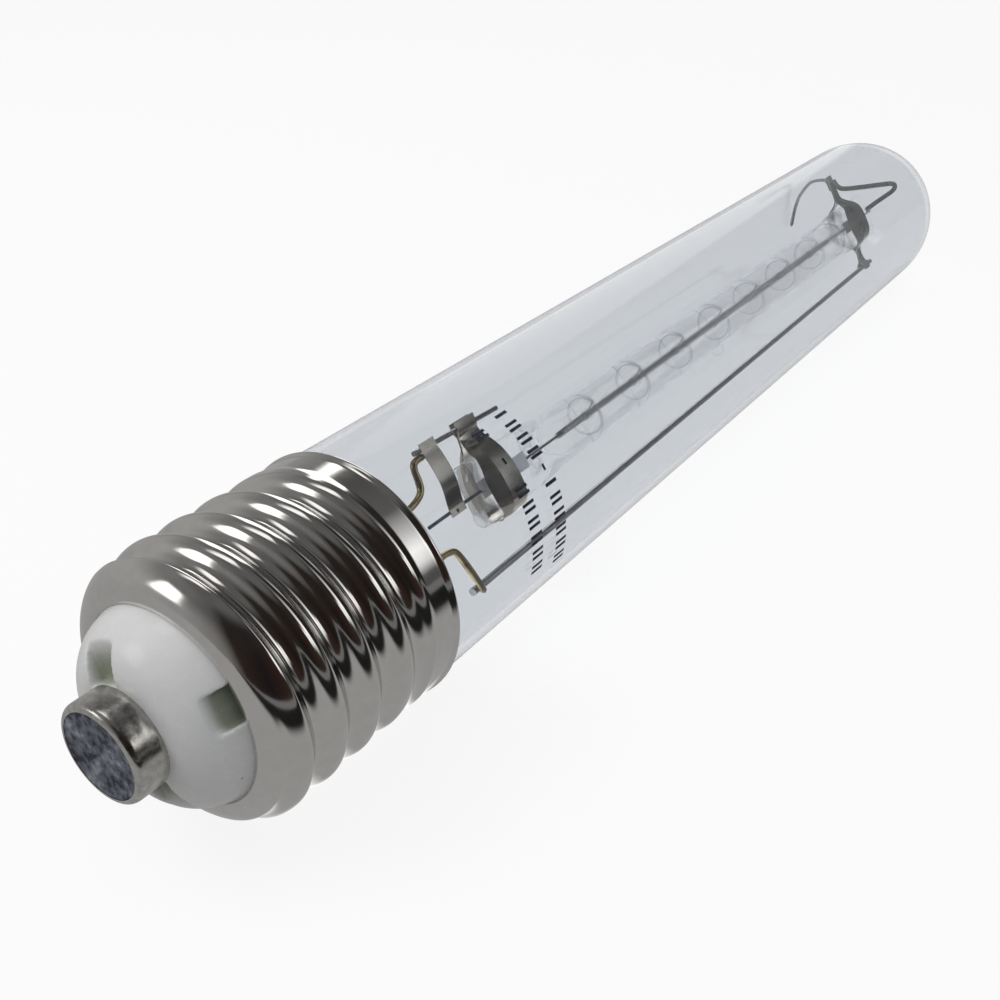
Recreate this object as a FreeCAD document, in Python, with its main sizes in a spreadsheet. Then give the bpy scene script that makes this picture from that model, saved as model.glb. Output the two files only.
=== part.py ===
# Tubular halogen lamp with a mogul screw base, lying along X with its contact face at the origin.
# A quartz capsule with its filament hangs on a wire mount inside a clear outer bulb.
import FreeCAD, Part
import math
import os

import Sketcher

# Driving sizes in millimetres, or degrees where the name ends in roll. X runs from contact to dome.
# In the mount, up is the way to the short rod and front is square to the plane of the two rods.
DRIVING_SIZES = {
    "fit_gap": 0.02,
    "contact_radius": 7.1,
    "contact_height": 4.5,
    "contact_wall": 0.6,
    "contact_edge_radius": 0.9,
    "contact_hole_radius": 1.2,
    "solder_radius": 6.1,
    "solder_depth": 0.5,
    "solder_plug_length": 2.6,
    "insulator_shoulder_radius": 7.6,
    "insulator_dome_radius": 8.0,
    "insulator_bore_radius": 1.3,
    "insulator_floor": 8.2,
    "insulator_cup_radius": 10.5,
    "insulator_flange_clearance": 0.65,
    "insulator_flange_length": 1.2,
    "insulator_back": 15.0,
    "insulator_roll": 63,
    "groove_width": 5.4,
    "groove_inset": 0.1,
    "groove_floor": 6.7,
    "notch_width": 5.0,
    "notch_flat": 12.5,
    "notch_floor": 13.0,
    "cut_overrun": 1.0,
    "thread_major_radius": 19.65,
    "thread_depth": 1.8,
    "thread_pitch": 6.35,
    "thread_turns": 4,
    "thread_crest_flat": 0.16,
    "thread_first_root": 10.0,
    "thread_roll": 0,
    "shell_wall": 0.4,
    "shell_mouth": 10.8,
    "shell_turn_radius": 5.4,
    "skirt_clearance": 0.05,
    "skirt_start": 40.4,
    "rim_flare_start": 44.2,
    "rim_flare": 0.35,
    "rim_end": 44.8,
    "cement_thickness": 1.65,
    "cement_start": 27.0,
    "cement_end": 40.5,
    "bulb_length": 268.0,
    "glass_wall": 1.2,
    "neck_step": 3.25,
    "neck_end": 24.0,
    "neck_bend_start": 38.5,
    "neck_bend_end": 45.0,
    "stem_tube_radius": 5.0,
    "stem_press_start": 44.0,
    "stem_press_end": 54.0,
    "stem_press_width": 11.0,
    "stem_press_thickness": 4.2,
    "exhaust_radius": 2.2,
    "exhaust_wall": 0.8,
    "exhaust_tip": 13.2,
    "exhaust_bore_end": 15.6,
    "exhaust_taper_end": 18.2,
    "exhaust_tip_radius": 0.6,
    "mount_roll": 59,
    "lead_spacing": 3.2,
    "lead_radius": 0.58,
    "lead_joint": 46.0,
    "lead_kink": 1.1,
    "long_lead_drop": 3.2,
    "base_lead_radius": 0.4,
    "bead_radius": 1.2,
    "bead_height": 1.4,
    "short_rod_radius": 0.45,
    "short_rod_height": 10.15,
    "short_rod_drop": 0.9,
    "short_rod_start": 66.8,
    "short_rod_end": 88.6,
    "long_rod_radius": 0.68,
    "long_rod_height": -13.75,
    "long_rod_rise": 1.5,
    "long_rod_start": 65.3,
    "long_rod_overhang": 2.0,
    "capsule_height": -0.9,
    "capsule_radius": 4.8,
    "capsule_bore_radius": 3.8,
    "near_pinch_end": 73.5,
    "far_pinch_to_dome": 14.0,
    "pinch_length": 19.5,
    "pinch_half_width": 5.6,
    "pinch_web": 2.2,
    "pinch_bead_radius": 1.4,
    "shoulder_length": 6.0,
    "shoulder_radius": 9.0,
    "bore_clearance": 7.0,
    "tip_off_distance": 67.0,
    "tip_off_radius": 1.3,
    "tip_off_length": 2.2,
    "foil_inset": 3.0,
    "foil_length": 13.5,
    "foil_width": 3.0,
    "foil_thickness": 0.05,
    "outer_lead_radius": 0.3,
    "near_outer_lead_reach": 10.5,
    "far_outer_lead_reach": 4.5,
    "inner_lead_radius": 0.25,
    "inner_lead_grip": 1.8,
    "filament_radius": 0.62,
    "filament_bore_radius": 0.36,
    "filament_to_shoulder": 6.7,
    "support_count": 7,
    "support_near_gap": 9.3,
    "support_far_gap": 12.6,
    "support_wire_radius": 0.15,
    "support_ring_gap": 0.5,
    "support_clearance": 0.05,
    "clamp_thickness": 0.25,
    "clamp_width": 4.8,
    "near_clamp_start": 77.6,
    "far_clamp_inset": 14.0,
    "clamp_crown": 4.1,
    "clamp_flange": 1.6,
    "far_clamp_top": 13.0,
    "ribbon_thickness": 0.16,
    "ribbon_width": 3.7,
    "ribbon_start": 68.0,
    "ribbon_tail": 0.9,
    "ribbon_bulge": 1.1,
    "link_radius": 0.55,
    "link_loop_front": 8.2,
    "link_loop_up": 3.5,
    "bumper_radius": 0.45,
    "bumper_clearance": 0.15,
    "bumper_lean": 5.9,
}

document = FreeCAD.newDocument("halogen_lamp")
sheet = document.addObject("Spreadsheet::Sheet", "sizes")
for row, (alias, number) in enumerate(DRIVING_SIZES.items(), start=1):
    sheet.set(f"A{row}", alias)
    sheet.set(f"B{row}", str(number))
    sheet.setAlias(f"B{row}", alias)
document.recompute()

ORIGIN = FreeCAD.Vector(0, 0, 0)
ALONG = FreeCAD.Vector(1, 0, 0)
UP = FreeCAD.Vector(0, 1, 0)
FRONT = FreeCAD.Vector(0, 0, 1)
pieces = []


class Size:
    """A number together with the sheet formula that it comes from."""

    def __init__(self, number, formula):
        self.number = number
        self.formula = formula

    def __float__(self):
        return float(self.number)

    def __add__(self, other):
        other = as_size(other)
        return Size(self.number + other.number, f"({self.formula} + {other.formula})")

    def __sub__(self, other):
        other = as_size(other)
        return Size(self.number - other.number, f"({self.formula} - {other.formula})")

    def __mul__(self, other):
        other = as_size(other)
        return Size(self.number * other.number, f"({self.formula} * {other.formula})")

    def __truediv__(self, other):
        other = as_size(other)
        return Size(self.number / other.number, f"({self.formula} / {other.formula})")

    def __neg__(self):
        return Size(-self.number, f"(0 - {self.formula})")

    __radd__ = __add__


def as_size(value):
    return value if isinstance(value, Size) else Size(float(value), repr(float(value)))


def root_of(size):
    return Size(math.sqrt(size.number), f"sqrt({size.formula})")


def size(alias):
    """The driving size of that name."""
    return Size(float(sheet.get(alias)), f"sizes.{alias}")


fit_gap = size("fit_gap")
mount_roll = size("mount_roll")
capsule_height = size("capsule_height")


def set_roll(piece, roll):
    """Turns a piece about the lamp's axis, tied to the sheet."""
    piece.Placement = FreeCAD.Placement(ORIGIN, FreeCAD.Rotation(ALONG, float(roll)))
    piece.setExpression("Placement.Rotation.Angle", roll.formula)


def new_body(label, roll=None):
    body = document.addObject("PartDesign::Body", label)
    body.Label = label
    if roll is not None:
        set_roll(body, roll)
    pieces.append(body)
    return body


def origin_plane(body, role):
    return next(plane for plane in body.Origin.OriginFeatures if plane.Role == role)


def new_sketch(body, name, role, offset=None):
    """A sketch on one of the body's own origin planes, moved along that plane's normal."""
    sketch = body.newObject("Sketcher::SketchObject", name)
    sketch.AttachmentSupport = (origin_plane(body, role), [""])
    sketch.MapMode = "FlatFace"
    if offset is not None:
        sketch.AttachmentOffset = FreeCAD.Placement(
            FreeCAD.Vector(0, 0, float(offset)), FreeCAD.Rotation())
        sketch.setExpression("AttachmentOffset.Base.z", offset.formula)
    return sketch


def tie(sketch, constraint, value):
    """Adds a dimension to the sketch and ties it to the sheet."""
    index = sketch.addConstraint(constraint)
    sketch.setExpression(f"Constraints[{index}]", value.formula)


def place_point(sketch, edge, end, across, along):
    """Ties one end of an edge to its two coordinates."""
    for kind, axis, value in (("DistanceX", -2, across), ("DistanceY", -1, along)):
        if value.number == 0:
            sketch.addConstraint(Sketcher.Constraint("PointOnObject", edge, end, axis))
        else:
            tie(sketch, Sketcher.Constraint(kind, -1, 1, edge, end, value.number), value)


def arc_middle(start, end, radius):
    """The middle of an arc between two points. A positive radius bulges to the left of the chord."""
    chord = end - start
    half = chord.Length / 2
    left = FreeCAD.Vector(-chord.y, chord.x, 0).normalize()
    bulge = abs(radius) - math.sqrt(radius * radius - half * half)
    return (start + end) / 2 + left * math.copysign(bulge, radius)


def draw_outline(sketch, corners, arcs=None):
    """A closed outline through the corners. arcs maps an edge's number to its radius, left positive."""
    arcs = arcs or {}
    corners = [(as_size(a), as_size(b)) for a, b in corners]
    points = [FreeCAD.Vector(float(a), float(b), 0) for a, b in corners]
    count = len(points)
    starts, ends = {}, {}
    for edge, start in enumerate(points):
        end = points[(edge + 1) % count]
        starts[edge], ends[edge] = 1, 2
        if edge in arcs:
            middle = arc_middle(start, end, float(arcs[edge]))
            sketch.addGeometry(Part.Arc(start, middle, end))
            # an arc keeps its own sense of turn, so its ends may be the other way round
            first = sketch.getPoint(edge, 1)
            if (first - start).Length > (first - end).Length:
                starts[edge], ends[edge] = 2, 1
        else:
            sketch.addGeometry(Part.LineSegment(start, end))
    for edge in range(count):
        following = (edge + 1) % count
        sketch.addConstraint(
            Sketcher.Constraint("Coincident", edge, ends[edge], following, starts[following]))
        place_point(sketch, edge, starts[edge], *corners[edge])
    for edge, radius in arcs.items():
        radius = as_size(radius)
        span = radius if radius.number > 0 else -radius
        tie(sketch, Sketcher.Constraint("Radius", edge, span.number), span)


def draw_circle(sketch, across, along, radius):
    across, along, radius = as_size(across), as_size(along), as_size(radius)
    centre = FreeCAD.Vector(float(across), float(along), 0)
    edge = sketch.addGeometry(Part.Circle(centre, FRONT, float(radius)))
    place_point(sketch, edge, 3, across, along)
    tie(sketch, Sketcher.Constraint("Radius", edge, radius.number), radius)


def turned(body, name, corners, arcs=None, cut=False):
    """A profile of (place along X, radius) corners, turned about the lamp's axis."""
    sketch = new_sketch(body, f"{name}_profile", "XZ_Plane")
    draw_outline(sketch, corners, arcs)
    document.recompute()
    kind = "PartDesign::Groove" if cut else "PartDesign::Revolution"
    feature = body.newObject(kind, name)
    feature.Profile = sketch
    feature.ReferenceAxis = (sketch, ["H_Axis"])
    feature.Angle = 360
    document.recompute()
    return feature


def extruded(body, name, sketch, length, cut=False):
    """Pads a cross-section, or pockets it, from its own plane towards the dome."""
    feature = body.newObject("PartDesign::Pocket" if cut else "PartDesign::Pad", name)
    feature.Profile = sketch
    feature.Length = float(length)
    feature.setExpression("Length", length.formula)
    feature.Reversed = cut
    document.recompute()
    return feature


def section(body, name, start):
    """A cross-section sketch across the lamp's axis: its own X is up, its own Y is front."""
    return new_sketch(body, name, "YZ_Plane", as_size(start))


def bore(body, name, start, length, circles):
    sketch = section(body, f"{name}_section", start)
    for up, front, radius in circles:
        draw_circle(sketch, up, front, radius)
    document.recompute()
    return extruded(body, name, sketch, length, cut=True)


# Radii of the base and the bulb, each from the one outside it

crest = size("thread_major_radius")
depth = size("thread_depth")
pitch = size("thread_pitch")
wall = size("shell_wall")
wave_radius = (pitch * pitch / 4 + depth * depth) / (depth * 4)
bore_radius = crest - depth - wall
flange_radius = bore_radius - size("insulator_flange_clearance")
neck_radius = bore_radius - size("cement_thickness")
bulb_radius = neck_radius + size("neck_step")
skirt_bore = bulb_radius + size("skirt_clearance")
skirt_radius = skirt_bore + wall
rim_radius = skirt_radius + size("rim_flare")
glass = size("glass_wall")
bend_run = size("neck_bend_end") - size("neck_bend_start")
bend_rise = bulb_radius - neck_radius
neck_bend = (bend_run * bend_run + bend_rise * bend_rise) / (bend_rise * 4)
dome_centre = size("bulb_length") - bulb_radius


# Contact, solder and porcelain

solder_face = size("solder_depth")
contact_inside = solder_face + size("contact_wall")
contact_bore = size("contact_radius") - size("contact_wall")


def make_contact_eyelet():
    body = new_body("contact_eyelet")
    edge = size("contact_edge_radius")
    turned(body, "cap", [
        (0, size("solder_radius")),
        (0, size("contact_radius") - edge),
        (edge, size("contact_radius")),
        (size("contact_height"), size("contact_radius")),
        (size("contact_height"), contact_bore),
        (contact_inside, contact_bore),
        (contact_inside, size("contact_hole_radius")),
        (solder_face, size("contact_hole_radius")),
        (solder_face, size("solder_radius")),
    ], {1: edge})


def make_contact_solder():
    body = new_body("contact_solder")
    plug_radius = size("contact_hole_radius") - fit_gap
    face_radius = size("solder_radius") - fit_gap
    turned(body, "fill", [
        (0, 0),
        (0, face_radius - solder_face),
        (solder_face - fit_gap, face_radius),
        (solder_face - fit_gap, plug_radius),
        (size("solder_plug_length"), plug_radius),
        (size("solder_plug_length"), 0),
    ])
    bore(body, "lead_hole", contact_inside, size("solder_plug_length") - contact_inside,
         [(0, 0, size("base_lead_radius"))])


mouth = size("shell_mouth")
turn_radius = size("shell_turn_radius")
turn_centre = mouth + turn_radius
mouth_radius = crest - turn_radius
seat = mouth + size("shell_wall") + fit_gap * 3
insulator_neck_radius = mouth_radius - fit_gap * 3


def cut_pair(body, name, floor, corners):
    """A cut from its floor out through the contact side, and the same across the axis."""
    sketch = section(body, f"{name}_section", floor)
    draw_outline(sketch, corners)
    document.recompute()
    cut = body.newObject("PartDesign::Pocket", name)
    cut.Profile = sketch
    cut.Length = float(floor)
    cut.setExpression("Length", floor.formula)
    document.recompute()
    pair = body.newObject("PartDesign::PolarPattern", f"{name}_pair")
    pair.Originals = [cut]
    pair.Axis = (sketch, ["N_Axis"])
    pair.Angle = 360
    pair.Occurrences = 2
    body.Tip = pair
    document.recompute()


def make_insulator():
    body = new_body("insulator", size("insulator_roll"))
    boss_radius = contact_bore - fit_gap
    turned(body, "moulding", [
        (contact_inside + fit_gap, size("insulator_bore_radius")),
        (contact_inside + fit_gap, boss_radius),
        (size("contact_height") + fit_gap, boss_radius),
        (size("contact_height") + fit_gap, size("insulator_shoulder_radius")),
        (mouth, insulator_neck_radius),
        (seat, insulator_neck_radius),
        (seat, mouth_radius + size("shell_wall")),
        (size("insulator_back") - size("insulator_flange_length"), flange_radius),
        (size("insulator_back"), flange_radius),
        (size("insulator_back"), size("insulator_cup_radius")),
        (size("insulator_floor"), size("insulator_cup_radius") - size("shell_turn_radius")),
        (size("insulator_floor"), size("insulator_bore_radius")),
    ], {3: size("insulator_dome_radius")})
    # a groove runs out from each side of the contact, and ends where the dome falls below its floor
    half = size("groove_width") / 2
    start = contact_bore + size("groove_inset")
    cut_pair(body, "groove", size("groove_floor"), [
        (start, -half), (insulator_neck_radius, -half), (insulator_neck_radius, half), (start, half)])
    # square to the grooves, a flat notch on each side runs in behind the shell's mouth
    half = size("notch_width") / 2
    reach = flange_radius + size("cut_overrun")
    cut_pair(body, "notch", size("notch_floor"), [
        (-half, size("notch_flat")), (half, size("notch_flat")), (half, reach), (-half, reach)])


# Screw shell, rolled from sheet: the same wave outside and inside, one wall apart

def wave_profile(body, name, centre, line, root_radius, crest_radius, outward):
    """One groove of the thread: a root arc between two half crest arcs, closed past the crest line."""
    half = pitch / 2
    share = root_radius / (root_radius + crest_radius)
    tangent = half * share
    sense = 1 if outward else -1
    flat = size("thread_crest_flat") / 2
    drop = crest_radius - root_of(crest_radius * crest_radius - flat * flat)
    root_line = line - depth * sense
    # height of the point where root and crest arcs meet, above the root line
    rise = root_radius - root_of(root_radius * root_radius - tangent * tangent)
    shoulder = line - drop * sense
    lid = line + depth / 3 * sense
    sketch = new_sketch(body, name, "XZ_Plane")
    reach = half - flat
    turn = -sense
    draw_outline(sketch, [
        (centre - reach, shoulder),
        (centre - tangent, root_line + rise * sense),
        (centre + tangent, root_line + rise * sense),
        (centre + reach, shoulder),
        (centre + reach, lid),
        (centre - reach, lid),
    ], {0: crest_radius * -turn, 1: root_radius * turn, 2: crest_radius * -turn})
    document.recompute()
    return sketch


def cut_along_helix(body, name, sketch, turns, cone_roll=0):
    feature = body.newObject("PartDesign::SubtractiveHelix", name)
    feature.Profile = sketch
    feature.ReferenceAxis = (sketch, ["H_Axis"])
    feature.Mode = "pitch-turns-angle"
    feature.Pitch = float(pitch)
    feature.setExpression("Pitch", pitch.formula)
    feature.Turns = float(turns)
    feature.setExpression("Turns", turns.formula)
    feature.Angle = cone_roll
    document.recompute()
    return feature


def make_screw_shell():
    body = new_body("screw_shell", size("thread_roll"))
    turned(body, "blank", [
        (mouth, bore_radius - depth * 2),
        (mouth, mouth_radius),
        (turn_centre, crest),
        (size("skirt_start"), crest),
        (size("skirt_start"), skirt_radius),
        (size("rim_flare_start"), skirt_radius),
        (size("rim_end"), rim_radius),
        (size("rim_end"), bore_radius - depth * 2),
    ], {1: turn_radius})
    turned(body, "hollow", [
        (mouth - wall, 0),
        (mouth - wall, mouth_radius),
        (mouth + wall, mouth_radius),
        (turn_centre - root_of((turn_radius - wall) * (turn_radius - wall)
                               - (bore_radius - mouth_radius) * (bore_radius - mouth_radius)),
         bore_radius),
        (size("skirt_start") + wall, bore_radius),
        (size("skirt_start") + wall + wall, skirt_bore),
        (size("rim_flare_start"), skirt_bore),
        (size("rim_end") + wall, rim_radius - wall + fit_gap * 5),
        (size("rim_end") + wall, 0),
    ], {2: turn_radius - wall}, cut=True)
    first_root = size("thread_first_root")
    turns = size("thread_turns")
    outer = wave_profile(body, "groove_profile", first_root, crest, wave_radius, wave_radius, True)
    cut_along_helix(body, "thread", outer, turns)
    last = wave_profile(body, "runout_profile", first_root + pitch * turns, crest,
                        wave_radius, wave_radius, True)
    cut_along_helix(body, "runout", last, as_size(0.5), 30)
    inner = wave_profile(body, "inner_profile", first_root + pitch * 1.5, bore_radius,
                         wave_radius - wall, wave_radius + wall, False)
    cut_along_helix(body, "inner_thread", inner, turns - 1.5)


def make_basing_cement():
    body = new_body("basing_cement")
    bend = neck_bend - fit_gap
    run = size("cement_end") - size("neck_bend_start")
    turned(body, "fill", [
        (size("cement_start"), neck_radius + fit_gap),
        (size("neck_bend_start"), neck_radius + fit_gap),
        (size("cement_end"), neck_radius + fit_gap + bend - root_of(bend * bend - run * run)),
        (size("cement_end"), bore_radius - fit_gap),
        (size("cement_start"), bore_radius - fit_gap),
    ], {1: bend})


# Outer bulb, stem and exhaust tube

def make_outer_bulb():
    body = new_body("outer_bulb")
    middle = size("neck_bend_start") + bend_run / 2
    middle_radius = neck_radius + bend_rise / 2
    # the two inner bends are one wall away from the outer ones, along the slope where they meet
    slope_run = bend_run / 2 / neck_bend * glass
    slope_rise = glass - glass * bend_rise / 2 / neck_bend
    inner_radius = bulb_radius - glass
    turned(body, "glass", [
        (size("neck_end"), neck_radius),
        (size("neck_bend_start"), neck_radius),
        (middle, middle_radius),
        (size("neck_bend_end"), bulb_radius),
        (dome_centre, bulb_radius),
        (size("bulb_length"), 0),
        (size("bulb_length") - glass, 0),
        (dome_centre, inner_radius),
        (size("neck_bend_end"), inner_radius),
        (middle + slope_run, middle_radius - slope_rise),
        (size("neck_bend_start"), neck_radius - glass),
        (size("neck_end"), neck_radius - glass),
    ], {
        1: -neck_bend, 2: neck_bend, 4: bulb_radius,
        6: -inner_radius, 8: -(neck_bend - glass), 9: neck_bend + glass,
    })


flare_radius = neck_radius - glass - fit_gap
flare_bend = flare_radius - size("stem_tube_radius")
flare_start = size("neck_end") + glass
tube_start = flare_start + flare_bend
stem_bore = size("stem_tube_radius") - glass


def make_glass_stem():
    body = new_body("glass_stem", mount_roll)
    press_start = size("stem_press_start")
    turned(body, "flare", [
        (size("neck_end"), flare_radius),
        (flare_start, flare_radius),
        (tube_start, size("stem_tube_radius")),
        (press_start + glass, size("stem_tube_radius")),
        (press_start + glass, 0),
        (press_start, 0),
        (press_start, stem_bore),
        (tube_start, stem_bore),
    ], {1: -flare_bend, 7: flare_bend + glass})
    sketch = section(body, "press_section", press_start)
    half_width = size("stem_press_width") / 2
    half_thickness = size("stem_press_thickness") / 2
    side = half_width - half_thickness
    draw_outline(sketch, [
        (-side, -half_thickness), (side, -half_thickness), (side, half_thickness), (-side, half_thickness),
    ], {1: -half_thickness * 1.0001, 3: -half_thickness * 1.0001})
    document.recompute()
    extruded(body, "press", sketch, size("stem_press_end") - press_start)
    lead = size("lead_spacing")
    bore(body, "lead_holes", size("lead_joint"), size("stem_press_end") - size("lead_joint"),
         [(lead, 0, size("lead_radius")), (-lead, 0, size("lead_radius"))])
    bore(body, "base_lead_holes", press_start, size("lead_joint") - press_start,
         [(lead, 0, size("base_lead_radius")), (-lead, 0, size("base_lead_radius"))])
    bore(body, "blow_hole", press_start, size("stem_press_end") - press_start,
         [(0, 0, size("exhaust_radius") - size("exhaust_wall"))])


def make_exhaust_tube():
    body = new_body("exhaust_tube")
    radius = size("exhaust_radius")
    inside = radius - size("exhaust_wall")
    turned(body, "tube", [
        (size("stem_press_start"), inside),
        (size("stem_press_start"), radius),
        (size("exhaust_taper_end"), radius),
        (size("exhaust_tip") + size("exhaust_tip_radius"), size("exhaust_tip_radius")),
        (size("exhaust_tip"), 0),
        (size("exhaust_bore_end"), 0),
        (size("exhaust_taper_end"), inside),
    ], {3: -size("exhaust_tip_radius")})


# Places along the mount, from the base to the dome

pinch_length = size("pinch_length")
near_end = size("near_pinch_end")
far_end = size("bulb_length") - size("far_pinch_to_dome")
near_shoulder = near_end + pinch_length
far_shoulder = far_end - pinch_length
far_clamp_start = far_end - size("far_clamp_inset")
long_rod_end = far_clamp_start + size("clamp_width") + size("long_rod_overhang")
filament_start = near_shoulder + size("filament_to_shoulder")
filament_end = far_shoulder - size("filament_to_shoulder")
capsule_radius = size("capsule_radius")


# Bent wires and straps

def bend_path(points, radius):
    """Straight runs joined by tangent arcs through a list of points."""
    edges = []
    start = points[0]
    for before, corner, after in zip(points, points[1:], points[2:]):
        towards = (before - corner).normalize()
        away = (after - corner).normalize()
        half_turn = (math.pi - towards.getAngle(away)) / 2
        reach = radius * math.tan(half_turn)
        centre_way = (towards + away).normalize()
        middle = corner + centre_way * (radius / math.cos(half_turn) - radius)
        first = corner + towards * reach
        last = corner + away * reach
        edges.append(Part.LineSegment(start, first).toShape())
        edges.append(Part.Arc(first, middle, last).toShape())
        start = last
    edges.append(Part.LineSegment(start, points[-1]).toShape())
    return Part.Wire(edges)


def vectors(points):
    return [FreeCAD.Vector(*(float(value) for value in point)) for point in points]


def bent_wire(label, points, radius, bend, roll=mount_roll):
    """A round wire along a path of (along, up, front) points."""
    points = vectors(points)
    path = bend_path(points, bend)
    start = Part.Circle(points[0], points[1] - points[0], float(radius)).toShape()
    piece = document.addObject("Part::Feature", label)
    piece.Label = label
    piece.Shape = path.makePipeShell([Part.Wire(start)], True, False)
    set_roll(piece, roll)
    pieces.append(piece)


def bent_strap(label, points, thickness, start, width, bend, roll=mount_roll):
    """A flat strap bent along a path of (up, front) points, with its width along the lamp."""
    start, width, thickness = float(start), float(width), float(thickness)
    points = vectors([(start, up, front) for up, front in points])
    path = bend_path(points, bend)
    across = (points[1] - points[0]).cross(ALONG).normalize() * thickness / 2
    wide = ALONG * width
    first = points[0]
    end = Part.makePolygon([
        first - across, first + across, first + across + wide, first - across + wide, first - across])
    piece = document.addObject("Part::Feature", label)
    piece.Label = label
    piece.Shape = path.makePipeShell([end], True, False)
    set_roll(piece, roll)
    pieces.append(piece)


def round_rod(label, start, end, radius, up, rise=as_size(0)):
    """A straight round rod along the lamp, from its height in the mount, rising by rise over its length."""
    rod = document.addObject("Part::Cylinder", label)
    rod.Label = label
    rod.Radius = float(radius)
    rod.setExpression("Radius", radius.formula)
    rod.Height = float(end - start)
    rod.setExpression("Height", (end - start).formula)
    # laid along X and tipped by its slope first, then turned with the mount
    slope = math.degrees(math.atan2(float(rise), float(end - start)))
    lying = FreeCAD.Placement(
        FreeCAD.Vector(float(start), float(up), 0),
        FreeCAD.Rotation(FRONT, slope) * FreeCAD.Rotation(UP, 90))
    rolled = FreeCAD.Placement(ORIGIN, FreeCAD.Rotation(ALONG, float(mount_roll)))
    rod.Placement = rolled * lying
    rod.setExpression("Placement.Base.x", start.formula)
    rod.setExpression("Placement.Base.y", f"{up.formula} * cos({mount_roll.formula} * 1 deg)")
    rod.setExpression("Placement.Base.z", f"{up.formula} * sin({mount_roll.formula} * 1 deg)")
    pieces.append(rod)
    return rod


def make_leads():
    joint = size("lead_joint")
    spacing = size("lead_spacing")
    press_end = size("stem_press_end")
    wire = size("lead_radius")
    kink = size("lead_kink")
    rod_start = size("short_rod_start")
    # a little lower than the rod's near end, because the rod slopes down from there
    rod_height = size("short_rod_height") - size("short_rod_drop") / 15
    beside_rod = rod_height - size("short_rod_radius") - wire - fit_gap
    bent_wire("short_lead_wire", [
        (joint, spacing, 0),
        (press_end + kink * 6, spacing, 0),
        (rod_start - kink * 1.6, spacing + kink * 1.6, 0),
        (rod_start - kink, beside_rod, 0),
        (size("ribbon_start") - kink * 0.2, beside_rod, 0),
    ], wire, wire * 2)
    long_rod = size("long_rod_height")
    long_start = size("long_rod_start")
    before_rod = size("long_rod_radius") + wire + fit_gap
    drop = size("long_lead_drop")
    bent_wire("long_lead_wire", [
        (joint, -spacing, 0),
        (press_end + kink * 2, -spacing, 0),
        (long_start - drop * 1.5, -spacing - drop * 0.7, before_rod * 0.7),
        (long_start - drop * 0.25, -spacing - drop * 0.85, before_rod),
        (long_start + drop * 0.15, long_rod + drop * 0.8, before_rod),
        (long_start + drop * 0.33, long_rod - drop / 3, before_rod),
    ], wire, wire * 2.2)
    base_wire = size("base_lead_radius")
    bent_wire("contact_lead", [
        (joint, spacing, 0),
        (size("exhaust_tip") - base_wire * 3, spacing, 0),
        (size("exhaust_tip") - base_wire * 9, 0, 0),
        (contact_inside, 0, 0),
    ], base_wire, base_wire * 3)
    bent_wire("shell_lead", [
        (joint, -spacing, 0),
        (shell_joint_place + base_wire * 6, -spacing, 0),
        (shell_joint_place, bead_seat * -1 + size("bead_height") + fit_gap * 6, 0),
    ], base_wire, base_wire * 3.75)


# the root of the thread that lies under the shell lead, one turn in from the first root
root_turn = (mount_roll + 90 - size("thread_roll")) / 360
shell_joint_place = size("thread_first_root") + pitch * (root_turn + 1)
bead_seat = bore_radius - fit_gap * 4


def make_shell_solder():
    body = new_body("shell_solder", mount_roll)
    sketch = new_sketch(body, "bead_section", "XZ_Plane", bead_seat)
    draw_circle(sketch, shell_joint_place, 0, size("bead_radius"))
    document.recompute()
    bead = body.newObject("PartDesign::Pad", "bead")
    bead.Profile = sketch
    bead.Length = float(size("bead_height"))
    bead.setExpression("Length", size("bead_height").formula)
    bead.Reversed = True
    document.recompute()


def make_rods():
    round_rod("short_rod", size("short_rod_start"), size("short_rod_end"),
              size("short_rod_radius"), size("short_rod_height"), -size("short_rod_drop"))
    round_rod("long_rod", size("long_rod_start"), long_rod_end,
              size("long_rod_radius"), size("long_rod_height"), size("long_rod_rise"))


def make_near_ribbon():
    """The strip leaves the rod's front, bulges forward and ends behind the capsule's lead."""
    thickness = size("ribbon_thickness")
    tail, bulge = size("ribbon_tail"), size("ribbon_bulge")
    rod = size("short_rod_height")
    weld_front = size("short_rod_radius") + thickness / 2 + fit_gap
    weld_back = size("outer_lead_radius") + thickness / 2 + fit_gap
    bent_strap("near_ribbon", [
        (rod + tail, weld_front),
        (rod - tail, weld_front),
        (rod - tail * 4, weld_front + bulge * 0.45),
        (rod - tail * 7.5, weld_front + bulge * 0.35),
        (capsule_height + tail * 1.5, weld_back),
        (capsule_height - tail * 0.9, weld_back),
    ], thickness, size("ribbon_start"), size("ribbon_width"), thickness * 9)


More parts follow.
